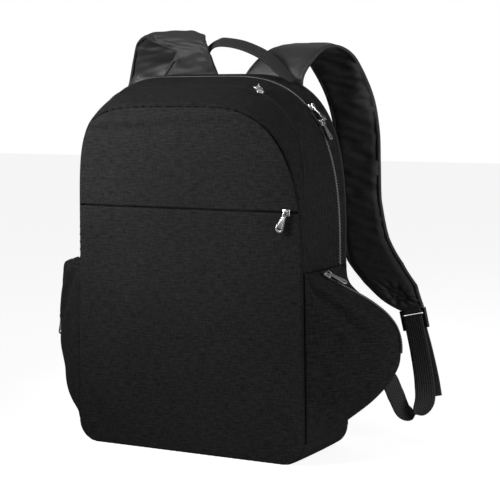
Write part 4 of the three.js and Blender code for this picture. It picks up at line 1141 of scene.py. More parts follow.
@dataclass
class Workshop:
    """What every sub-assembly works with."""

    form: BagForm
    skin: Skin
    finishes: Finishes
    rows: Rows

    def stitches(self, name: str, lines: Sequence[tuple[Points, Points]], pitch: float = 3.2) -> None:
        """Sews rows of stitches on the bag."""
        piece = self.rows.along(name, lines, RowKind.STITCH, self.finishes.thread, pitch,
                                (pitch * 0.42, 0.32, 0.28))
        give(piece, self.finishes.thread)

    def coil(self, name: str, line: Points, outs: Points, pitch: float = 1.9, width: float = 1.5,
             dark: bool = False) -> None:
        """Lays a zip's nylon coil along a line."""
        finish = self.finishes.dark_coil if dark else self.finishes.coil
        piece = self.rows.along(name, [(line, outs)], RowKind.TOOTH, finish, pitch,
                                (pitch * 0.42, width, 0.6), stagger=width * 0.45)
        give(piece, finish)


@dataclass
class FrontPanels:
    """The front: an upper panel and the front pocket's panel, with the pocket's zip hidden between them."""

    shop: Workshop
    seam_drop: float = 1.7
    seam_roll: float = 3.4
    slit: float = 1.6
    slit_roll: float = 2.2
    wall: float = 1.2
    sides: int = 900
    rings: int = 52
    zip_margin: float = 6.0
    folds: tuple[Fold, ...] = (
        Fold((118.0, 62.0), (146.0, 22.0), -1.3, 6.0),
        Fold((128.0, 70.0), (150.0, 40.0), 0.9, 6.0),
        Fold((-120.0, 270.0), (-96.0, 190.0), 0.7, 12.0),
        Fold((24.0, 284.0), (30.0, 200.0), -0.5, 10.0),
        Fold((-140.0, 60.0), (-118.0, 20.0), -0.8, 8.0),
        Fold((-130.0, 389.0), (80.0, 401.0), 1.0, 5.0),
        Fold((-134.0, 380.0), (70.0, 391.0), -0.8, 6.0),
    )

    def build(self) -> None:
        """Makes both panels, the seam allowance round them and the zip behind the slit."""
        outline = self.shop.skin.closed(0.0, 0.0, self.sides)
        half = self.slit / 2
        height = self.shop.form.pocket_zip_height
        self.panel("front_cloth_upper", self.clip(outline, height + half, 1e9), "front_panel")
        self.panel("front_cloth_pocket", self.clip(outline, -1e9, height - half), "front_pocket_panel")
        self.seam()
        self.zip()

    @staticmethod
    def clip(outline: Points, low: float, high: float) -> Points:
        """The closed outline's part between two heights, spread evenly."""
        kept = []
        for a, b in zip(outline, np.roll(outline, -1, axis=0)):
            if low <= a[1] <= high:
                kept.append(a)
            for cut in (low, high):
                if (a[1] - cut) * (b[1] - cut) < 0:
                    kept.append(a + (b - a) * (cut - a[1]) / (b[1] - a[1]))
        closed = np.vstack([kept, kept[:1]])
        return spread(closed, 1200)[:-1]

    def surface(self, places: Points, seam_away: Points) -> Points:
        """Points of the front at places across and up.

        Args:
            places: Across and up.
            seam_away: Distance from the outer seam.

        Returns:
            Points in the bag's frame.
        """
        form = self.shop.form
        x, z = places[..., 0], places[..., 1]
        y = form.front_face(x, z)
        free = np.clip(seam_away / 30.0, 0, 1)
        soft = 0.55 * SoftField(3, 95.0, (1.0, 0.6)).at(x, z) + 0.22 * SoftField(8, 38.0).at(x, z)
        lift = soft * free + sum(fold.at(x, z) for fold in self.folds)
        y = y - lift + rolled(seam_away, self.seam_roll, self.seam_drop)
        slit_away = np.abs(z - form.pocket_zip_height) - self.slit / 2
        y = y + rolled(np.maximum(slit_away, 0), self.slit_roll, 1.5)
        return np.stack([x, y, z], axis=-1)

    def panel(self, name: str, outline: Points, replaced: str) -> None:
        """One panel inside its outline, in rings round its middle."""
        near = [0.955, 0.968, 0.978, 0.985, 0.99, 0.9925, 0.995, 0.997, 0.9985, 1.0]
        places, size = square_sheet(outline, np.array(list(np.linspace(0, 0.94, self.rings)) + near))
        seam = self.shop.skin.closed(0.0, 0.0, 700)
        flat = places.reshape(-1, 2)
        away = np.min(np.linalg.norm(flat[:, None, :] - seam[None, :, :], axis=2), axis=1)
        points = self.surface(flat, away)
        piece = make_piece(name, points, grid_faces(size, size), flat * MM, inside=(0, 0, flat[:, 1].mean()))
        thicken(piece, self.wall)
        give(piece, self.shop.finishes.front, [replaced])

    def seam(self) -> None:
        """The folded seam allowance that fills the seam between the front and the gusset."""
        depth, inset, radius = 2.1, 1.2, 1.3
        rings = self.shop.skin.tube(depth, inset, radius, 900, 8)
        lofted("front_seam_allowance", rings, self.shop.finishes.cloth, closed=True)

    def zip(self) -> None:
        """The pocket's tape and coil behind the slit."""
        form = self.shop.form
        half = 148.0 - self.zip_margin
        x = np.linspace(-half, half, 80)
        face = form.front_face(x, np.full(x.shape, form.pocket_zip_height))
        rings = np.array([[(a, b + back, form.pocket_zip_height + up)
                           for up, back in ((-3.5, 2.4), (3.5, 2.4), (3.5, 3.2), (-3.5, 3.2))]
                          for a, b in zip(x, face)])
        lofted("front_pocket_tape", rings, self.shop.finishes.tape, ["front_pocket_zip"])
        line = np.stack([x, face + 1.9, np.full(x.shape, form.pocket_zip_height)], axis=1)
        forward = np.tile((0.0, -1.0, 0.0), (len(x), 1))
        self.shop.coil("front_pocket_coil", line, forward, width=0.45, dark=True)


@dataclass
class Body:
    """Gussets, base, back panel and piping."""

    shop: Workshop
    front_depth: float = 2.5
    zip_half: float = 3.2
    piping: float = 4.0
    seam_gap: float = 0.1
    zip_stitches: float = 5.4
    stitch_lift: float = 0.15
    wall: float = 1.2
    back_padding: float = 8.0
    zip_end_height: float = 223.0
    folds: tuple[Fold, ...] = (
        Fold((905.0, 10.0), (930.0, 34.0), 1.6, 5.0),
        Fold((895.0, 14.0), (916.0, 40.0), -1.3, 6.0),
        Fold((860.0, 20.0), (960.0, 60.0), -0.8, 16.0),
        Fold((300.0, 30.0), (420.0, 80.0), 0.8, 22.0),
    )

    def build(self) -> None:
        """Makes the body's cloth pieces."""
        skin = self.shop.skin
        depth = self.shop.form.main_zip_depth
        self.zip_left = skin.share_at(self.zip_end_height, Side.LEFT, depth)
        self.zip_right = skin.share_at(self.zip_end_height, Side.RIGHT, depth)
        self.front_gusset()
        self.rear_gusset()
        self.base()
        self.back()
        self.edge()

    def opening(self, share: Points) -> Points:
        """Half the gap for the main zip, closing to a seam past its ends."""
        inside = np.minimum(share - self.zip_left, self.zip_right - share)
        return self.zip_half * np.clip(inside / 0.012 + 1, 0.06, 1)

    def band(self, name: str, part: Part, share: Points, depth: Points, lift: Points, replaced: str,
             finish: bpy.types.Material) -> None:
        """A band of the bag's skin.

        Args:
            name: The piece's name.
            part: The arch or the base.
            share: Places along the part, one a point.
            depth: Depths, one a point.
            lift: How far each point stands off the skin.
            replaced: The solid that it stands for.
            finish: Its material.
        """
        points = self.shop.skin.point(part, share, depth, lift)
        run = self.run(part, share)
        piece = make_piece(name, points, grid_faces(*share.shape),
                           np.stack([run * MM, depth * MM], axis=-1), inside=(0, 0, BAG_SHARES[2] / 2))
        thicken(piece, self.wall)
        give(piece, finish, [replaced])

    def run(self, part: Part, share: Points) -> Points:
        """Length along the outline, in millimetres, at shares of it."""
        grid = self.shop.skin.grids[part][60]
        return np.interp(share, np.linspace(0, 1, len(grid)), lengths_along(grid))

    def front_gusset(self) -> None:
        """The wide gusset from the front seam to the main zip."""
        form = self.shop.form
        share = np.linspace(0, 1, 521)[:, None]
        edge = np.concatenate([[0, 0.006, 0.012, 0.02, 0.03, 0.045], np.linspace(0.07, 0.93, 40),
                               [0.955, 0.97, 0.98, 0.988, 0.994, 1]])[None, :]
        stop = form.main_zip_depth - self.opening(share)
        share, edge, stop = np.broadcast_arrays(share, edge, stop)
        depth = self.front_depth + (stop - self.front_depth) * edge
        run = self.run(Part.ARCH, share)
        free = np.clip(np.minimum(depth - self.front_depth, stop - depth) / 14.0, 0, 1)
        soft = 0.5 * SoftField(5, 80.0).at(run, depth) + 0.2 * SoftField(11, 30.0).at(run, depth)
        lift = free * (soft + sum(fold.at(run, depth) for fold in self.folds))
        lift = lift - rolled(depth - self.front_depth, 2.6, 0.9) - rolled(stop - depth, 2.4, 0.9)
        self.band("front_gusset_cloth", Part.ARCH, share, depth, lift, "front_gusset",
                  self.shop.finishes.cloth)
        line = np.linspace(self.zip_left, self.zip_right, 400)
        lifted = np.full(line.shape, self.stitch_lift)
        for name, way in (("zip_stitches_front", -1), ("zip_stitches_rear", 1)):
            where = np.full(line.shape, form.main_zip_depth + way * self.zip_stitches)
            self.shop.stitches(name, [(self.shop.skin.point(Part.ARCH, line, where, lifted),
                                       self.shop.skin.outward(Part.ARCH, line, where))])

    def rear_gusset(self) -> None:
        """The narrow gusset from the main zip to the back seam."""
        form = self.shop.form
        share = np.linspace(0, 1, 421)[:, None]
        edge = np.concatenate([[0, 0.05, 0.1, 0.17], np.linspace(0.25, 0.8, 8), [0.88, 0.94, 1]])[None, :]
        start = form.main_zip_depth + self.opening(share)
        stop = form.depth - self.piping - self.seam_gap
        share, edge, start = np.broadcast_arrays(share, edge, start)
        depth = start + (stop - start) * edge
        run = self.run(Part.ARCH, share)
        lift = 0.25 * SoftField(17, 40.0).at(run, depth)
        lift = lift - rolled(depth - start, 2.4, 0.9) - rolled(stop - depth, 2.0, 1.0)
        self.band("rear_gusset_cloth", Part.ARCH, share, depth, lift, "rear_gusset", self.shop.finishes.cloth)

    def base(self) -> None:
        """The base with both lower corners turned up."""
        form = self.shop.form
        share = np.linspace(0.002, 0.998, 161)[:, None]
        edge = np.concatenate([[0, 0.008, 0.02, 0.04], np.linspace(0.08, 0.92, 26),
                               [0.96, 0.98, 0.99, 1]])[None, :]
        stop = form.depth - self.piping - self.seam_gap
        share, edge = np.broadcast_arrays(share, edge)
        depth = self.front_depth + (stop - self.front_depth) * edge
        away = np.minimum(depth - self.front_depth, stop - depth)
        side = np.minimum(share, 1 - share) * 400
        lift = -rolled(away, 3.0, 1.6) - rolled(side, 2.0, 0.8)
        self.band("base_cloth", Part.BASE, share, depth, lift, "base_panel", self.shop.finishes.cloth)

    def back(self) -> None:
        """The padded back panel, filled by a short simulation."""
        form = self.shop.form
        outline = self.shop.skin.closed(form.depth - self.back_padding, self.piping + 0.4, 900)
        shares = np.array(list(np.linspace(0, 0.9, 26)) + [0.93, 0.955, 0.975, 0.988, 1.0])
        places, size = square_sheet(outline, shares)
        ring = np.maximum(*np.abs(np.meshgrid(*[np.arange(size) - size // 2] * 2)))
        crown = form.depth / 2 + form.back_bulge * (1 - shares ** 2) - 0.8
        crown[-4:] = form.depth / 2 - np.array([0.7, 1.1, 1.9, 4.0])
        rear = np.dstack([places[..., 0], crown[ring], places[..., 1]]).reshape(-1, 3)
        front = rear.copy()
        front[:, 1] = form.depth / 2 - self.back_padding
        count = size * size
        sheet = grid_faces(size, size)
        rim = [k for k in range(size)] + [k * size + size - 1 for k in range(1, size)]
        rim += [count - 1 - k for k in range(1, size)] + [count - size - k * size for k in range(1, size - 1)]
        faces = [tuple(face) for face in sheet] + [tuple(face + count)[::-1] for face in sheet]
        faces += [(a, a + count, b + count, b) for a, b in zip(rim, rim[1:] + rim[:1])]
        points = np.vstack([rear, front])
        piece = make_piece("back_padding", points, faces, points[:, [0, 2]] * MM)
        held = (points[:, 1] < form.depth / 2 - 1.5).astype(float)
        puff(piece, held, 2.0, 0.01, 1.5)
        subdivide(piece)
        give(piece, self.shop.finishes.back, ["back_panel"])

    def edge(self) -> None:
        """The piping round the back edge."""
        form = self.shop.form
        radius = self.piping / 2
        rings = self.shop.skin.tube(form.depth - radius, radius, radius, 420, 12)
        lofted("back_seam_piping", rings, self.shop.finishes.piping, ["back_piping"],
               closed=True)


@dataclass
class ArchZips:
    """The main zip over the bag and the front compartment's zip."""

    shop: Workshop
    body: Body
    tape_width: float = 7.0
    compartment_top: float = 62.0
    compartment_end: float = 13.0
    compartment_end_height: float = 306.0
    compartment_bend: float = 2.35

    def build(self) -> None:
        """Makes both zips."""
        share = np.linspace(self.body.zip_left + 0.001, self.body.zip_right - 0.001, 420)
        depth = np.full(share.shape, self.shop.form.main_zip_depth)
        self.zip("main_zip", share, depth, -0.4, "main_zip", 2.0)
        right = self.shop.skin.share_at(self.compartment_end_height, Side.RIGHT, self.compartment_end)
        left = self.shop.skin.share_at(self.compartment_end_height, Side.LEFT, self.compartment_end)
        share = np.linspace(left, right, 420)
        middle = (left + right) / 2
        t = np.minimum(np.abs(share - middle) / (right - middle), 1) ** self.compartment_bend
        depth = self.compartment_top + (self.compartment_end - self.compartment_top) * t
        self.zip("compartment_zip", share, depth, 0.12, "front_compartment_zip", 0.8)

    def zip(self, name: str, share: Points, depth: Points, lift: float, replaced: str, width: float) -> None:
        """Tape and coil of one zip.

        Args:
            name: The zip's name.
            share: Its places along the arch.
            depth: Its depths.
            lift: Height of the tape over the skin.
            replaced: The solid that it stands for.
            width: Half width of the coil.
        """
        half = self.tape_width / 2 * min(1.0, width / 1.2)
        profile = [(-half, -0.3), (-half * 0.96, 0.25), (-half * 0.45, 0.3), (-0.35, 0.1), (0.35, 0.1),
                   (half * 0.45, 0.3), (half * 0.96, 0.25), (half, -0.3)]
        skin = self.shop.skin
        rings = np.stack([skin.point(Part.ARCH, share, depth + across, np.full(share.shape, lift + out))
                          for across, out in profile], axis=1)
        lofted(f"{name}_tape", rings, self.shop.finishes.tape, [replaced])
        line = skin.point(Part.ARCH, share, depth, np.full(share.shape, lift + 0.55))
        outward = skin.outward(Part.ARCH, share, depth)
        self.shop.coil(f"{name}_coil", line, outward, width=width, dark=width < 1)


@dataclass
class SidePocket:
    """One bulging side pocket with its zip along the ridge."""

    shop: Workshop
    side: Side
    bottom: float = 26.0
    top: float = 223.0
    bulge: float = 79.0
    seam_inset: float = 4.0
    wall: float = 2.3
    ridge_around: float = 0.625
    front_round: float = 1.6
    back_round: float = 1.25
    zip_top: float = 0.975
    zip_end: float = 0.5
    zip_slope: float = 0.9
    levels: dict[Side, tuple[tuple[float, ...], ...]] = field(default_factory=lambda: {
        Side.RIGHT: (
            (0.0, 0.04, 0.4), (0.04, 0.12, 0.52), (0.1, 0.28, 0.6), (0.17, 0.49, 0.64), (0.24, 0.69, 0.68),
            (0.32, 0.88, 0.73), (0.42, 0.98, 0.77), (0.55, 1.0, 0.78), (0.64, 0.965, 0.745),
            (0.71, 0.9, 0.68), (0.78, 0.79, 0.57), (0.84, 0.65, 0.44), (0.9, 0.45, 0.31),
            (0.95, 0.23, 0.23), (1.0, 0.04, 0.18)),
        Side.LEFT: (
            (0.0, 0.04, 0.5), (0.03, 0.46, 0.5), (0.1, 0.68, 0.56), (0.2, 0.85, 0.64), (0.32, 0.96, 0.7),
            (0.45, 1.02, 0.74), (0.6, 1.02, 0.74), (0.72, 0.98, 0.7), (0.84, 0.9, 0.63),
            (0.93, 0.8, 0.54), (0.975, 0.68, 0.48), (1.0, 0.04, 0.45)),
    })
    folds: tuple[Fold, ...] = (
        Fold((0.05, 0.985), (0.32, 0.62), -5.6, 0.05),
        Fold((0.16, 0.96), (0.44, 0.6), 3.4, 0.06),
        Fold((0.3, 0.96), (0.5, 0.7), -2.0, 0.05),
        Fold((0.45, 0.2), (0.7, 0.4), -2.4, 0.08),
        Fold((0.08, 0.93), (0.16, 0.97), 1.8, 0.03),
        Fold((0.1, 0.35), (0.4, 0.55), 1.2, 0.1),
    )

    def point(self, around: Points, level: Points) -> Points:
        """Points of the pocket's skin.

        Args:
            around: From the front seam over the ridge to the back seam, 0 to 1.
            level: From the bottom to the top, 0 to 1.

        Returns:
            Points in the bag's frame.
        """
        table = np.array(self.levels[self.side])
        bulge = soft_interp(level, table[:, 0], table[:, 1], 0.035)
        ridge = soft_interp(level, table[:, 0], table[:, 2], 0.05)
        near = around < self.ridge_around
        q = np.where(near, around / self.ridge_around, (1 - around) / (1 - self.ridge_around))
        share = np.where(near, ridge * q, 1 - (1 - ridge) * q)
        shape = 1 - (1 - q) ** np.where(near, self.front_round, self.back_round)
        nearest = np.minimum(np.minimum(around, 1 - around), np.minimum(level + 0.02, 1 - level))
        inside = np.clip(8 * nearest, 0, 1)
        fold = sum(item.at(around, level) for item in self.folds)
        soft = 1.1 * SoftField(21 + self.side.value, 0.42, (1.0, 1.4)).at(around, level)
        reach = np.maximum(0.4, self.bulge * bulge * shape + (fold + soft) * inside)
        z = self.bottom + (self.top - self.bottom) * level
        depth = self.seam_inset + (self.shop.form.depth - 2 * self.seam_inset) * share
        x = self.shop.skin.side_x(z, depth) + self.wall + reach
        return np.stack([self.side.value * x, self.shop.form.front_y + depth, z], axis=-1)

    def build(self) -> None:
        """Makes the pocket's cloth, its zip and its seams."""
        label = self.side.label
        around, level = np.meshgrid(np.linspace(0, 1, 121), np.linspace(0, 1, 151))
        points = self.point(around, level)
        rim = np.minimum(np.minimum(around, 1 - around) * 150, np.minimum(level, 1 - level) * 190)
        points[..., 0] -= self.side.value * rolled(rim, 3.0, 2.2)
        uv = np.stack([around * 0.15, level * 0.19], axis=-1)
        inside = (self.side.value * 120, 0, 125)
        piece = make_piece(f"side_pocket_cloth_{label}", points, grid_faces(*around.shape), uv, inside)
        thicken(piece, 1.2)
        give(piece, self.shop.finishes.cloth, [f"side_pocket_{label}"])
        self.zip()

    def ridge(self, count: int) -> tuple[Points, Points, Points]:
        """Line of the zip with its outward and crosswise directions."""
        level = np.linspace(self.zip_top, self.zip_end, 80)
        line = spread(self.point(np.full(80, self.ridge_around), level), count)
        run = unit(np.gradient(line, axis=0))
        out = np.array([self.side.value, 0.0, self.zip_slope])
        out = unit(out - run * (run @ out)[:, None])
        return line, out, unit(np.cross(out, run))

    def zip(self) -> None:
        """Tape, lips and coil along the ridge."""
        label = self.side.label
        line, out, across = self.ridge(110)
        profile = [(-3.2, -0.6), (-2.8, 0.9), (-1.3, 0.9), (-1.0, 0.5),
                   (1.0, 0.5), (1.3, 0.9), (2.8, 0.9), (3.2, -0.6)]
        rings = np.stack([line + across * w + out * h for w, h in profile], axis=1)
        lofted(f"side_zip_tape_{label}", rings, self.shop.finishes.tape,
               [f"side_pocket_zip_{label}"])
        self.shop.coil(f"side_zip_coil_{label}", line + out * 0.95, out, width=0.9)


STRAP_ROWS: dict[Side, tuple[tuple[float, ...], ...]] = {
    Side.RIGHT: (
        (0.32, 0, 0.95, 1.0, 0.55, 0), (0.325, 0.003, 0.998, 1.0, 0.8, 0),
        (0.385, 0.078, 1.042, 0.96, 1, 0), (0.46, 0.198, 1.075, 0.9, 1, 0),
        (0.53, 0.348, 1.082, 0.86, 1, 0.3), (0.61, 0.488, 1.06, 0.85, 1, 0.6),
        (0.68, 0.558, 1.015, 0.84, 1, 0.6), (0.78, 0.578, 0.94, 0.8, 1, 0.4),
        (0.84, 0.578, 0.85, 0.76, 1, 0), (0.865, 0.568, 0.765, 0.72, 1, 0),
        (0.89, 0.558, 0.66, 0.68, 1, 0), (0.94, 0.558, 0.555, 0.76, 1, 0),
        (1.02, 0.558, 0.487, 0.93, 1, 0), (1.155, 0.56, 0.428, 0.88, 0.95, 0),
        (1.25, 0.565, 0.39, 0.64, 0.8, 0), (1.35, 0.574, 0.362, 0.38, 0.55, 0)),
    Side.LEFT: (
        (0.45, 0, 0.95, 1.04, 0.55, 0), (0.45, 0.003, 0.998, 1.02, 0.8, 0),
        (0.42, -0.042, 1.035, 0.785, 1, 0), (0.4, -0.072, 1.068, 0.57, 1, 0.2),
        (0.542, -0.022, 1.098, 0.94, 1, 0.4), (0.646, 0.108, 1.115, 1.075, 1, 0.4),
        (0.76, 0.258, 1.119, 1.02, 1, 0.3), (0.92, 0.4, 1.102, 0.98, 1, 1),
        (1.03, 0.508, 1.055, 0.92, 1, 1), (1.11, 0.558, 0.99, 0.87, 1, 0.8),
        (1.19, 0.568, 0.91, 0.82, 1, 0.3), (1.25, 0.568, 0.8, 0.75, 1, 0), (1.28, 0.558, 0.67, 0.7, 1, 0),
        (1.3, 0.558, 0.54, 0.7, 1, 0), (1.32, 0.562, 0.44, 0.68, 0.9, 0),
        (1.33, 0.565, 0.395, 0.56, 0.8, 0), (1.35, 0.574, 0.362, 0.38, 0.55, 0)),
}


@dataclass
class ShoulderStrap:
    """One padded shoulder strap with bound edges and a crossed box of stitches at its end."""

    shop: Workshop
    side: Side
    width: float = 80.0
    thickness: float = 9.0
    binding: float = 1.5
    binding_width: float = 4.0
    wrinkle: float = 3.0
    seat: float = 63.26
    lock_tilt: float = 13.0
    steps: int = 440
    sides: int = 45
    box_place: float = 0.915
    box_size: float = 19.0
    box_press: float = 1.5

    def __post_init__(self) -> None:
        """Lays out the frame along the strap."""
        rows = np.array(STRAP_ROWS[self.side])
        places = rows[:, :3] * BAG_SHARES * (self.side.value, 1, 1)
        places[:, 1] += self.seat + self.thickness * rows[:, 4] / 2
        self.ts = np.linspace(0, 1, self.steps + 1)
        self.line = through(places, self.ts)
        self.columns = between(rows, self.ts).T
        run = unit(np.gradient(self.line, axis=0))
        share = np.clip((self.ts - 0.85) / 0.15, 0, 1)
        slant = math.radians(self.lock_tilt) * share * share * (3 - 2 * share)
        self.across = np.stack([self.side.value * np.cos(slant), np.zeros(len(slant)), np.sin(slant)], axis=1)
        self.out = unit(np.cross(self.across, run))
        self.run = lengths_along(self.line)
        self.middle = int(self.box_place * self.steps)

    def pressed(self, s: Points) -> Points:
        """How far the crossed box of stitches draws the padding in, with the puckers round it."""
        along = (self.run - self.run[self.middle])[:, None]
        wide = (self.width * self.columns[3] / 2)[:, None] * s[None, :]
        half = self.box_size / 2
        square = np.maximum(np.abs(along), np.abs(wide))
        crossing = np.where(square < half, np.abs(np.abs(along) - np.abs(wide)) / math.sqrt(2), 99.0)
        line = np.minimum(np.abs(square - half), crossing)
        groove = 0.9 * np.exp(-(line / 1.5) ** 2)
        dish = self.box_press * np.clip((half + 5 - square) / 5, 0, 1)
        pucker = 0.7 * np.cos(10 * np.arctan2(wide, along)) * np.exp(-((square - half - 5) / 6) ** 2)
        return groove + dish + pucker

    def half_thickness(self, s: Points) -> Points:
        """Half the strap's thickness at places across it from -1 to 1, one row a station."""
        full = (self.thickness * self.columns[4] / 2)[:, None]
        edge = np.minimum(self.binding, full)
        t = np.clip((np.abs(s)[None, :] - 0.62) / 0.36, 0, 1)
        return edge + (full - edge) * (1 - t * t * (3 - 2 * t)) ** 0.8

    def creases(self, s: Points, layer: Layer) -> Points:
        """Wrinkles across the strap, deepest where it is bent."""
        run = self.run[:, None]
        place = s[None, :]
        amount = self.columns[5][:, None]
        soft = SoftField(31 + self.side.value + layer.value, 26.0, (1.0, 0.25))
        waves = soft.at(run + 6 * place, place * 40)
        fine = SoftField(41 + layer.value, 11.0, (1.0, 0.2)).at(run - 4 * place, place * 40)
        deep = self.wrinkle * (0.55 * waves + 0.25 * fine)
        calm = 0.22 * waves + 0.1 * fine
        lining = 0.8 * fine + 0.7 * waves if layer is Layer.INNER else 0.0
        smooth = np.clip((self.run[self.middle] - 20.0 - run) / 150.0, 0.12, 1)
        fade = np.clip((1 - np.abs(place)) * 6, 0, 1)
        return ((calm + lining) * smooth + amount * deep - self.pressed(s)) * fade

    def surface(self, s: Points, layer: Layer) -> Points:
        """Points of one face.

        Args:
            s: Places across from -1 to 1.
            layer: Which face.

        Returns:
            Points: station, place, coordinate.
        """
        w = (self.width * self.columns[3] / 2)[:, None] * s[None, :]
        h = layer.value * (self.half_thickness(s) + self.creases(s, layer))
        soft = SoftField(51 + self.side.value, 60.0)
        sag = 0.8 * soft.at(self.run[:, None], s[None, :] * 30) * self.columns[5][:, None]
        return (self.line[:, None, :] + self.across[:, None, :] * w[..., None]
                + self.out[:, None, :] * (h + sag)[..., None])

    def build(self) -> None:
        """Makes the padding, the binding and the stitches."""
        label = self.side.label
        s = np.sin(np.linspace(-math.pi / 2, math.pi / 2, self.sides))
        rings = np.concatenate([self.surface(s, Layer.INNER), self.surface(s[::-1], Layer.OUTER)], axis=1)
        points, faces = loft(rings)
        piece = make_piece(f"shoulder_strap_padding_{label}", points, faces, ring_uv(rings))
        # The inner face takes the lining finish: a lining cloth that is also painted shade for the strap's
        # shaded underside.
        for finish in (self.shop.finishes.strap, self.shop.finishes.lining):
            piece.data.materials.append(finish)
        inner = [int(k < self.steps * 2 * self.sides and k % (2 * self.sides) < self.sides - 1)
                 for k in range(len(piece.data.polygons))]
        piece.data.polygons.foreach_set("material_index", inner)
        give(piece, self.shop.finishes.strap, [f"shoulder_strap_{label}"])
        for edge in (-1, 1):
            self.bind(edge)
        self.box()
        self.tab()

    def bind(self, edge: int) -> None:
        """The tape folded over one edge."""
        w = self.width * self.columns[3] / 2
        h = np.minimum(self.binding, self.thickness * self.columns[4] / 2)
        wide = self.binding_width
        shape = [(-wide, 1.85, 1.0), (-wide * 0.4, 1.25, 1.0), (0.1, 0.9, 1.0), (0.8, 0.0, 0.0),
                 (0.1, 0.9, -1.0), (-wide * 0.4, 1.25, -1.0), (-wide, 1.85, -1.0)]
        inner = [(-wide, 1.2, -1.0), (-wide * 0.4, 0.65, -1.0), (-0.4, 0.3, -1.0), (0.2, 0.0, 0.0),
                 (-0.4, 0.3, 1.0), (-wide * 0.4, 0.65, 1.0), (-wide, 1.2, 1.0)]
        rings = []
        for reach, raised, face in shape + inner:
            across = edge * (w + reach)
            out = face * (h + (raised - 0.7))
            rings.append(self.line + self.across * across[:, None] + self.out * out[:, None])
        lofted(f"strap_binding_{self.side.label}_{'a' if edge < 0 else 'b'}", np.stack(rings, axis=1),
               self.shop.finishes.binding)

    def box(self) -> None:
        """A square of stitches crossed corner to corner, on both faces."""
        half = self.box_size / 2
        corners = [(-half, -half), (half, -half), (half, half), (-half, half)]
        legs = list(zip(corners, corners[1:] + corners[:1]))
        legs += [(corners[0], corners[2]), (corners[1], corners[3])]
        t = np.linspace(0, 1, 16)[:, None]
        lines = []
        for layer in Layer:
            for a, b in legs:
                flat = np.array(a) * (1 - t) + np.array(b) * t
                out = np.tile(self.out[self.middle] * layer.value, (len(t), 1))
                lines.append((self.on_face(flat, layer) + 0.25 * out, out))
        self.shop.stitches(f"strap_box_{self.side.label}", lines, 2.6)

    def on_face(self, flat: Points, layer: Layer) -> Points:
        """Points of a face at places across and along from the box's middle, in millimetres."""
        s = np.linspace(-1, 1, 121)
        face = self.surface(s, layer)
        row = np.interp(self.run[self.middle] + flat[:, 1], self.run, np.arange(len(self.run)))
        half = np.interp(row, np.arange(len(self.run)), self.width * self.columns[3] / 2)
        column = (np.clip(flat[:, 0] / half, -1, 1) + 1) / 2 * (len(s) - 1)
        i = np.minimum(row.astype(int), len(self.run) - 2)
        j = np.minimum(column.astype(int), len(s) - 2)
        a, b = (row - i)[:, None], (column - j)[:, None]
        near = face[i, j] * (1 - b) + face[i, j + 1] * b
        far = face[i + 1, j] * (1 - b) + face[i + 1, j + 1] * b
        return near * (1 - a) + far * a

    def tab(self) -> None:
        """The short loop of webbing at the strap's end, round the ladder lock's top bar."""
        turn = np.array(Matrix.Rotation(-self.side.value * math.radians(self.lock_tilt), 3, "Y"))
        side = [(1.2, 4.0), (2.4, 1.4), (3.2, -0.8), (3.2, -3.9), (2.2, -5.4)]
        flat = side + [(0.0, -5.8)] + [(-y, z) for y, z in side[::-1]]
        stops = np.array([self.line[-1] + turn @ np.array([0.0, y, z]) for y, z in flat])
        line = through(stops, np.linspace(0, 1, 81))
        across = np.tile(turn @ np.array([self.side.value, 0.0, 0.0]), (len(line), 1))
        band = Band(25.0, 1.1)
        rings = band.rings(line, across, unit(np.cross(across, unit(np.gradient(line, axis=0)))))
        lofted(f"strap_tab_{self.side.label}", rings, self.shop.finishes.webbing,
               uv=band_uv(rings, line, band.width))


@dataclass
class Band:
    """Flat woven band along a line."""

    width: float
    thickness: float

    def rings(self, line: Points, across: Points, out: Points) -> Points:
        """Rings of the band's rounded section."""
        w, h = self.width / 2, self.thickness / 2
        s = np.linspace(-1, 1, 11)
        profile = [(w * a, h * (1 - 0.5 * abs(a) ** 8)) for a in s]
        profile += [(w * a, -h * (1 - 0.5 * abs(a) ** 8)) for a in s[::-1]]
        return np.stack([line + across * a + out * b for a, b in profile], axis=1)


@dataclass
class Handle:
    """Grab handle of ribbed webbing."""

    shop: Workshop
    band: Band = field(default_factory=lambda: Band(20.0, 2.4))
    tilt: float = 30.0
    seat_tilt: float = 9.0
    tacks: tuple[int, ...] = (3, 8)
    rows: tuple[tuple[float, ...], ...] = (
        (85.1, 52.5, 440.2, 0, 1), (76.0, 52.5, 444.3, 0, 1), (65.4, 52.5, 453.1, 0, 0),
        (51.7, 52.5, 466.1, 0, 0), (33.4, 52.5, 476.3, 0, 0), (10.6, 52.5, 484.4, 0, 0),
        (-15.2, 57.5, 487.9, 0, 0), (-36.5, 71.3, 485.2, 12, 0), (-51.7, 78.8, 475.0, 40, 0),
        (-59.3, 76.3, 461.6, 70, 0), (-60.8, 72.9, 446.0, 90, 0), (-60.8, 71.1, 430.4, 90, 0))

    def build(self) -> None:
        """Makes the handle and the bars of stitches near its right end."""
        rows = np.array(self.rows)
        ts = np.linspace(0, 1, 160)
        line = through(rows[:, :3], ts)
        turn, seated = between(rows[:, 3:], ts).T
        turn = np.radians(turn)
        tilt = np.radians(self.tilt * (1 - seated) + self.seat_tilt * seated)
        across, out = square_frame(line, np.stack(
            [-np.sin(turn), np.cos(turn) * np.cos(tilt), np.cos(turn) * np.sin(tilt)], axis=1))
        rings = self.band.rings(line, across, out)
        lofted("grab_handle_webbing", rings, self.shop.finishes.webbing, ["grab_handle"],
               uv=band_uv(rings, line, self.band.width))
        lines = []
        for k in self.tacks:
            t = np.linspace(-0.8, 0.8, 12)[:, None]
            face = -1.0 if out[k, 2] < 0 else 1.0
            start = line[k] + out[k] * face * (self.band.thickness / 2 + 0.15)
            lines.append((start + across[k] * t * self.band.width / 2, np.tile(out[k] * face, (12, 1))))
        self.shop.stitches("handle_bar_tacks", lines, 1.4)


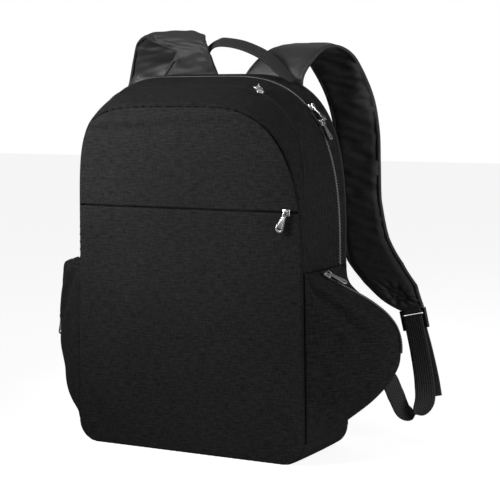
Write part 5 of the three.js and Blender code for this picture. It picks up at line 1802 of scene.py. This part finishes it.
def band_uv(rings: Points, line: Points, width: float) -> Points:
    """Place on a band for each point of its rings: across it and along it, in metres."""
    sides = rings.shape[1]
    across = np.concatenate([np.linspace(0, width, sides // 2),
                             np.linspace(width, 0, sides - sides // 2)]) * MM
    run = lengths_along(line) * MM
    return np.stack(np.broadcast_arrays(across[None, :], run[:, None]), axis=-1)


@dataclass
class AdjustingWebbing:
    """Webbing from the bag's seam over a ladder lock's bar, with its free tail."""

    shop: Workshop
    side: Side
    band: Band = field(default_factory=lambda: Band(25.0, 1.8))
    lock_height: float = 25.0
    lock_thickness: float = 5.0
    lock_bar: float = 3.6
    lock_tilt: float = 13.0
    gap: float = 0.3
    piping_radius: float = 2.0
    seam_height: float = 85.0
    seam_lead: float = 14.0
    rows: tuple[tuple[float, ...], ...] = (
        (1.425, 1.07, 0.25, 0, 0), (1.47, 1.07, 0.165, 10, 0), (1.475, 1.06, 0.105, 35, 0),
        (1.41, 1.04, 0.072, 60, 8), (1.325, 1.0, 0.078, 72, 20), (1.265, 0.95, 0.125, 64, 28),
        (1.22, 0.87, 0.172, 64, 38), (1.12, 0.68, 0.198, 60, 70))
    tail: tuple[tuple[float, ...], ...] = (
        (1.435, 1.135, 0.25, 0, 0), (1.49, 1.14, 0.17, 5, 0), (1.52, 1.13, 0.12, 8, 0))

    def stop(self, row: Sequence[float]) -> tuple[Points, Points]:
        """Place and crosswise direction of a row."""
        turn, rise = math.radians(row[3]), math.radians(row[4])
        place = np.array(row[:3]) * BAG_SHARES * (self.side.value, 1, 1)
        across = np.array([self.side.value * math.cos(turn) * math.cos(rise),
                           math.sin(turn) * math.cos(rise), math.sin(rise)])
        return place, across

    def lock_stops(self) -> list[tuple[Points, Points]]:
        """Stops over the lock's middle bar."""
        end = np.array(STRAP_ROWS[Side.RIGHT][-1])
        place = end[:3] * BAG_SHARES * (self.side.value, 1, 1)
        place[1] += ShoulderStrap.seat + ShoulderStrap.thickness * end[4] / 2
        turn = np.array(Matrix.Rotation(-self.side.value * math.radians(self.lock_tilt), 3, "Y"))
        window = (self.lock_height - 3 * self.lock_bar) / 2
        off = self.lock_thickness / 2 + 2 * self.gap + self.band.thickness / 2
        turn_at = -self.lock_bar - window - self.band.thickness / 2
        low = -self.lock_height - 2.0
        angle = np.linspace(0, math.pi, 5)
        turned = [(off * math.cos(a), turn_at + off * math.sin(a)) for a in angle]
        flat = [(off, low)] + turned + [(-off, low)]
        across = turn @ np.array([self.side.value, 0.0, 0.0])
        return [(place + turn @ np.array([0.0, y, z - self.gap]), across) for y, z in flat]

    def seam_stops(self) -> list[tuple[Points, Points]]:
        """Stops where the webbing runs up to the back seam."""
        radius, depth = self.piping_radius, self.shop.form.depth
        height = np.array(self.seam_height)
        middle = float(self.shop.skin.side_x(height, np.array(depth - radius))) - radius
        stops = []
        for away in (radius + self.gap + self.seam_lead, radius + self.gap):
            reach = away * math.sqrt(0.5)
            place = np.array([self.side.value * (middle + reach), depth / 2 - radius + reach, height])
            stops.append((place, np.array([0.0, 0.0, 1.0])))
        return stops

    def build(self) -> None:
        """Makes the webbing in one length."""
        stops = [self.stop(row) for row in self.tail[::-1]] + self.lock_stops()
        stops += [self.stop(row) for row in self.rows] + self.seam_stops()
        ts = np.linspace(0, 1, 20 * (len(stops) - 1) + 1)
        line = through(np.array([place for place, _ in stops]), ts)
        across, out = square_frame(line, between(np.array([across for _, across in stops]), ts))
        rings = self.band.rings(line, across, out)
        lofted(f"adjusting_webbing_{self.side.label}", rings, self.shop.finishes.webbing,
               [f"lower_webbing_{self.side.label}"], uv=band_uv(rings, line, self.band.width))


@dataclass
class Hardware:
    """Sliders, pulls and ladder locks, with the edges of their solids eased."""

    shop: Workshop
    slider_edge: float = 0.35
    pull_edge: float = 0.28
    lock_edge: float = 0.9
    zips: tuple[str, ...] = ("main_zip_1", "main_zip_2", "compartment_zip", "front_pocket_zip",
                             "side_pocket_right", "side_pocket_left")

    def build(self) -> None:
        """Makes every hard piece."""
        for name in self.zips:
            for node, edge, body in ((f"{name}_slider", self.slider_edge, BAG_BODY),
                                     (f"{name}_pull", self.pull_edge, f"{name}_pull_body")):
                self.ease(node, edge, self.shop.finishes.metal, body)
        for side in Side:
            self.ease(f"strap_buckle_{side.label}", self.lock_edge, self.shop.finishes.plastic,
                      BAG_BODY)

    def ease(self, node: str, radius: float, finish: bpy.types.Material, body: str) -> None:
        """A copy of a hard solid with rounded edges.

        Args:
            node: The solid's name.
            radius: Radius of the rounding in millimetres.
            finish: Its material.
            body: The body that carries it.
        """
        mesh = frame["nodes"][node].data.copy()
        mesh.materials.clear()
        work = bmesh.new()
        work.from_mesh(mesh)
        bmesh.ops.remove_doubles(work, verts=work.verts, dist=1e-6)
        bmesh.ops.dissolve_limit(work, angle_limit=math.radians(1.0), verts=work.verts, edges=work.edges)
        work.to_mesh(mesh)
        work.free()
        mesh.name = f"{node}_cast"
        piece = bpy.data.objects.new(f"{node}_cast", mesh)
        bpy.context.scene.collection.objects.link(piece)
        bevel = piece.modifiers.new("edges", "BEVEL")
        bevel.width = radius * MM
        bevel.segments = 3
        bevel.limit_method = "ANGLE"
        bevel.angle_limit = math.radians(35)
        make_plain(piece)
        piece.data.polygons.foreach_set("use_smooth", [True] * len(piece.data.polygons))
        piece.data.set_sharp_from_angle(angle=math.radians(38))
        give(piece, finish, [node], body)


@dataclass
class Studio:
    """Floor, soft lights and the camera at the photograph's angle."""

    eye: tuple[float, float, float] = (0.8881, -1.5727, 0.4170)
    target: tuple[float, float, float] = (0.0532, -0.0025, 0.2395)
    lens: float = 108.0
    surround: float = 0.12
    floor_glow: float = 0.85

    def build(self) -> None:
        """Sets the stage."""
        self.camera()
        self.floor()
        self.world()
        self.light("key", (-0.42, -0.55, 0.66), 0.35, 1.4, (-0.09, -0.06, 0.4), 70.0)
        self.light("fill", (2.0, -0.25, 0.6), 1.2, 22.0, (0.1, 0.0, 0.25))
        self.light("top", (0.15, 0.55, 1.7), 1.1, 2.2, (0.1, 0.05, 0.45))

    def camera(self) -> None:
        """The camera, aimed at the middle of the picture."""
        data = bpy.data.cameras.new("camera")
        data.lens = self.lens
        data.sensor_width = 36.0
        camera = bpy.data.objects.new("camera", data)
        bpy.context.scene.collection.objects.link(camera)
        camera.location = self.eye
        aim = Vector(self.target) - Vector(self.eye)
        camera.rotation_euler = aim.to_track_quat("-Z", "Y").to_euler()
        bpy.context.scene.camera = camera

    def floor(self) -> None:
        """A plain pale floor."""
        mesh = bpy.data.meshes.new("floor")
        mesh.from_pydata([(-8, -8, 0), (8, -8, 0), (8, 8, 0), (-8, 8, 0)], [], [(0, 1, 2, 3)])
        floor = bpy.data.objects.new("floor", mesh)
        bpy.context.scene.collection.objects.link(floor)
        material, bench, surface = start_material("Pale floor", {
            "Base Color": (0.5, 0.5, 0.5, 1), "Roughness": 0.95, "Specular IOR Level": 0.1,
            "Emission Strength": self.floor_glow})
        seen = bench.node("ShaderNodeLightPath")
        bench.link(seen.outputs["Is Camera Ray"], surface.inputs["Emission Color"])
        mesh.materials.append(material)

    def world(self) -> None:
        """A plain surrounding: pure white behind the bag, softer where it only lights it."""
        world = bpy.data.worlds.new("studio")
        world.use_nodes = True
        bench = NodeBench(world.node_tree)
        soft = world.node_tree.nodes["Background"]
        soft.inputs["Strength"].default_value = self.surround
        soft.inputs["Color"].default_value = (1, 1, 1, 1)
        white = bench.wired("ShaderNodeBackground", {"Color": (1, 1, 1, 1)})
        seen = bench.node("ShaderNodeLightPath")
        mixed = bench.wired("ShaderNodeMixShader", {0: seen.outputs["Is Camera Ray"], 1: soft.outputs[0],
                                                    2: white.outputs[0]})
        bench.link(mixed.outputs[0], world.node_tree.nodes["World Output"].inputs["Surface"])
        bpy.context.scene.world = world
        bpy.context.scene.view_settings.view_transform = "Standard"

    def light(self, name: str, place: tuple[float, float, float], size: float, power: float,
              aim: tuple[float, float, float], spread: float = 180.0) -> None:
        """A soft square light aimed at a point of the bag, its beam as wide as the spread in degrees."""
        data = bpy.data.lights.new(name, "AREA")
        data.spread = math.radians(spread)
        data.size = size
        data.energy = power
        lamp = bpy.data.objects.new(name, data)
        bpy.context.scene.collection.objects.link(lamp)
        lamp.location = place
        lamp.rotation_euler = (Vector(aim) - Vector(place)).to_track_quat("-Z", "Y").to_euler()


def main() -> None:
    """Builds every sub-assembly in order."""
    logging.basicConfig(level=logging.INFO, format="%(name)s: %(message)s")
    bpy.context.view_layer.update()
    Studio().build()
    form = BagForm()
    shop = Workshop(form, Skin(form), Finishes(), Rows())
    FrontPanels(shop).build()
    body = Body(shop)
    body.build()
    ArchZips(shop, body).build()
    for side in Side:
        SidePocket(shop, side).build()
        ShoulderStrap(shop, side).build()
        AdjustingWebbing(shop, side).build()
    Handle(shop).build()
    Hardware(shop).build()


if __name__ == "__main__":
    main()
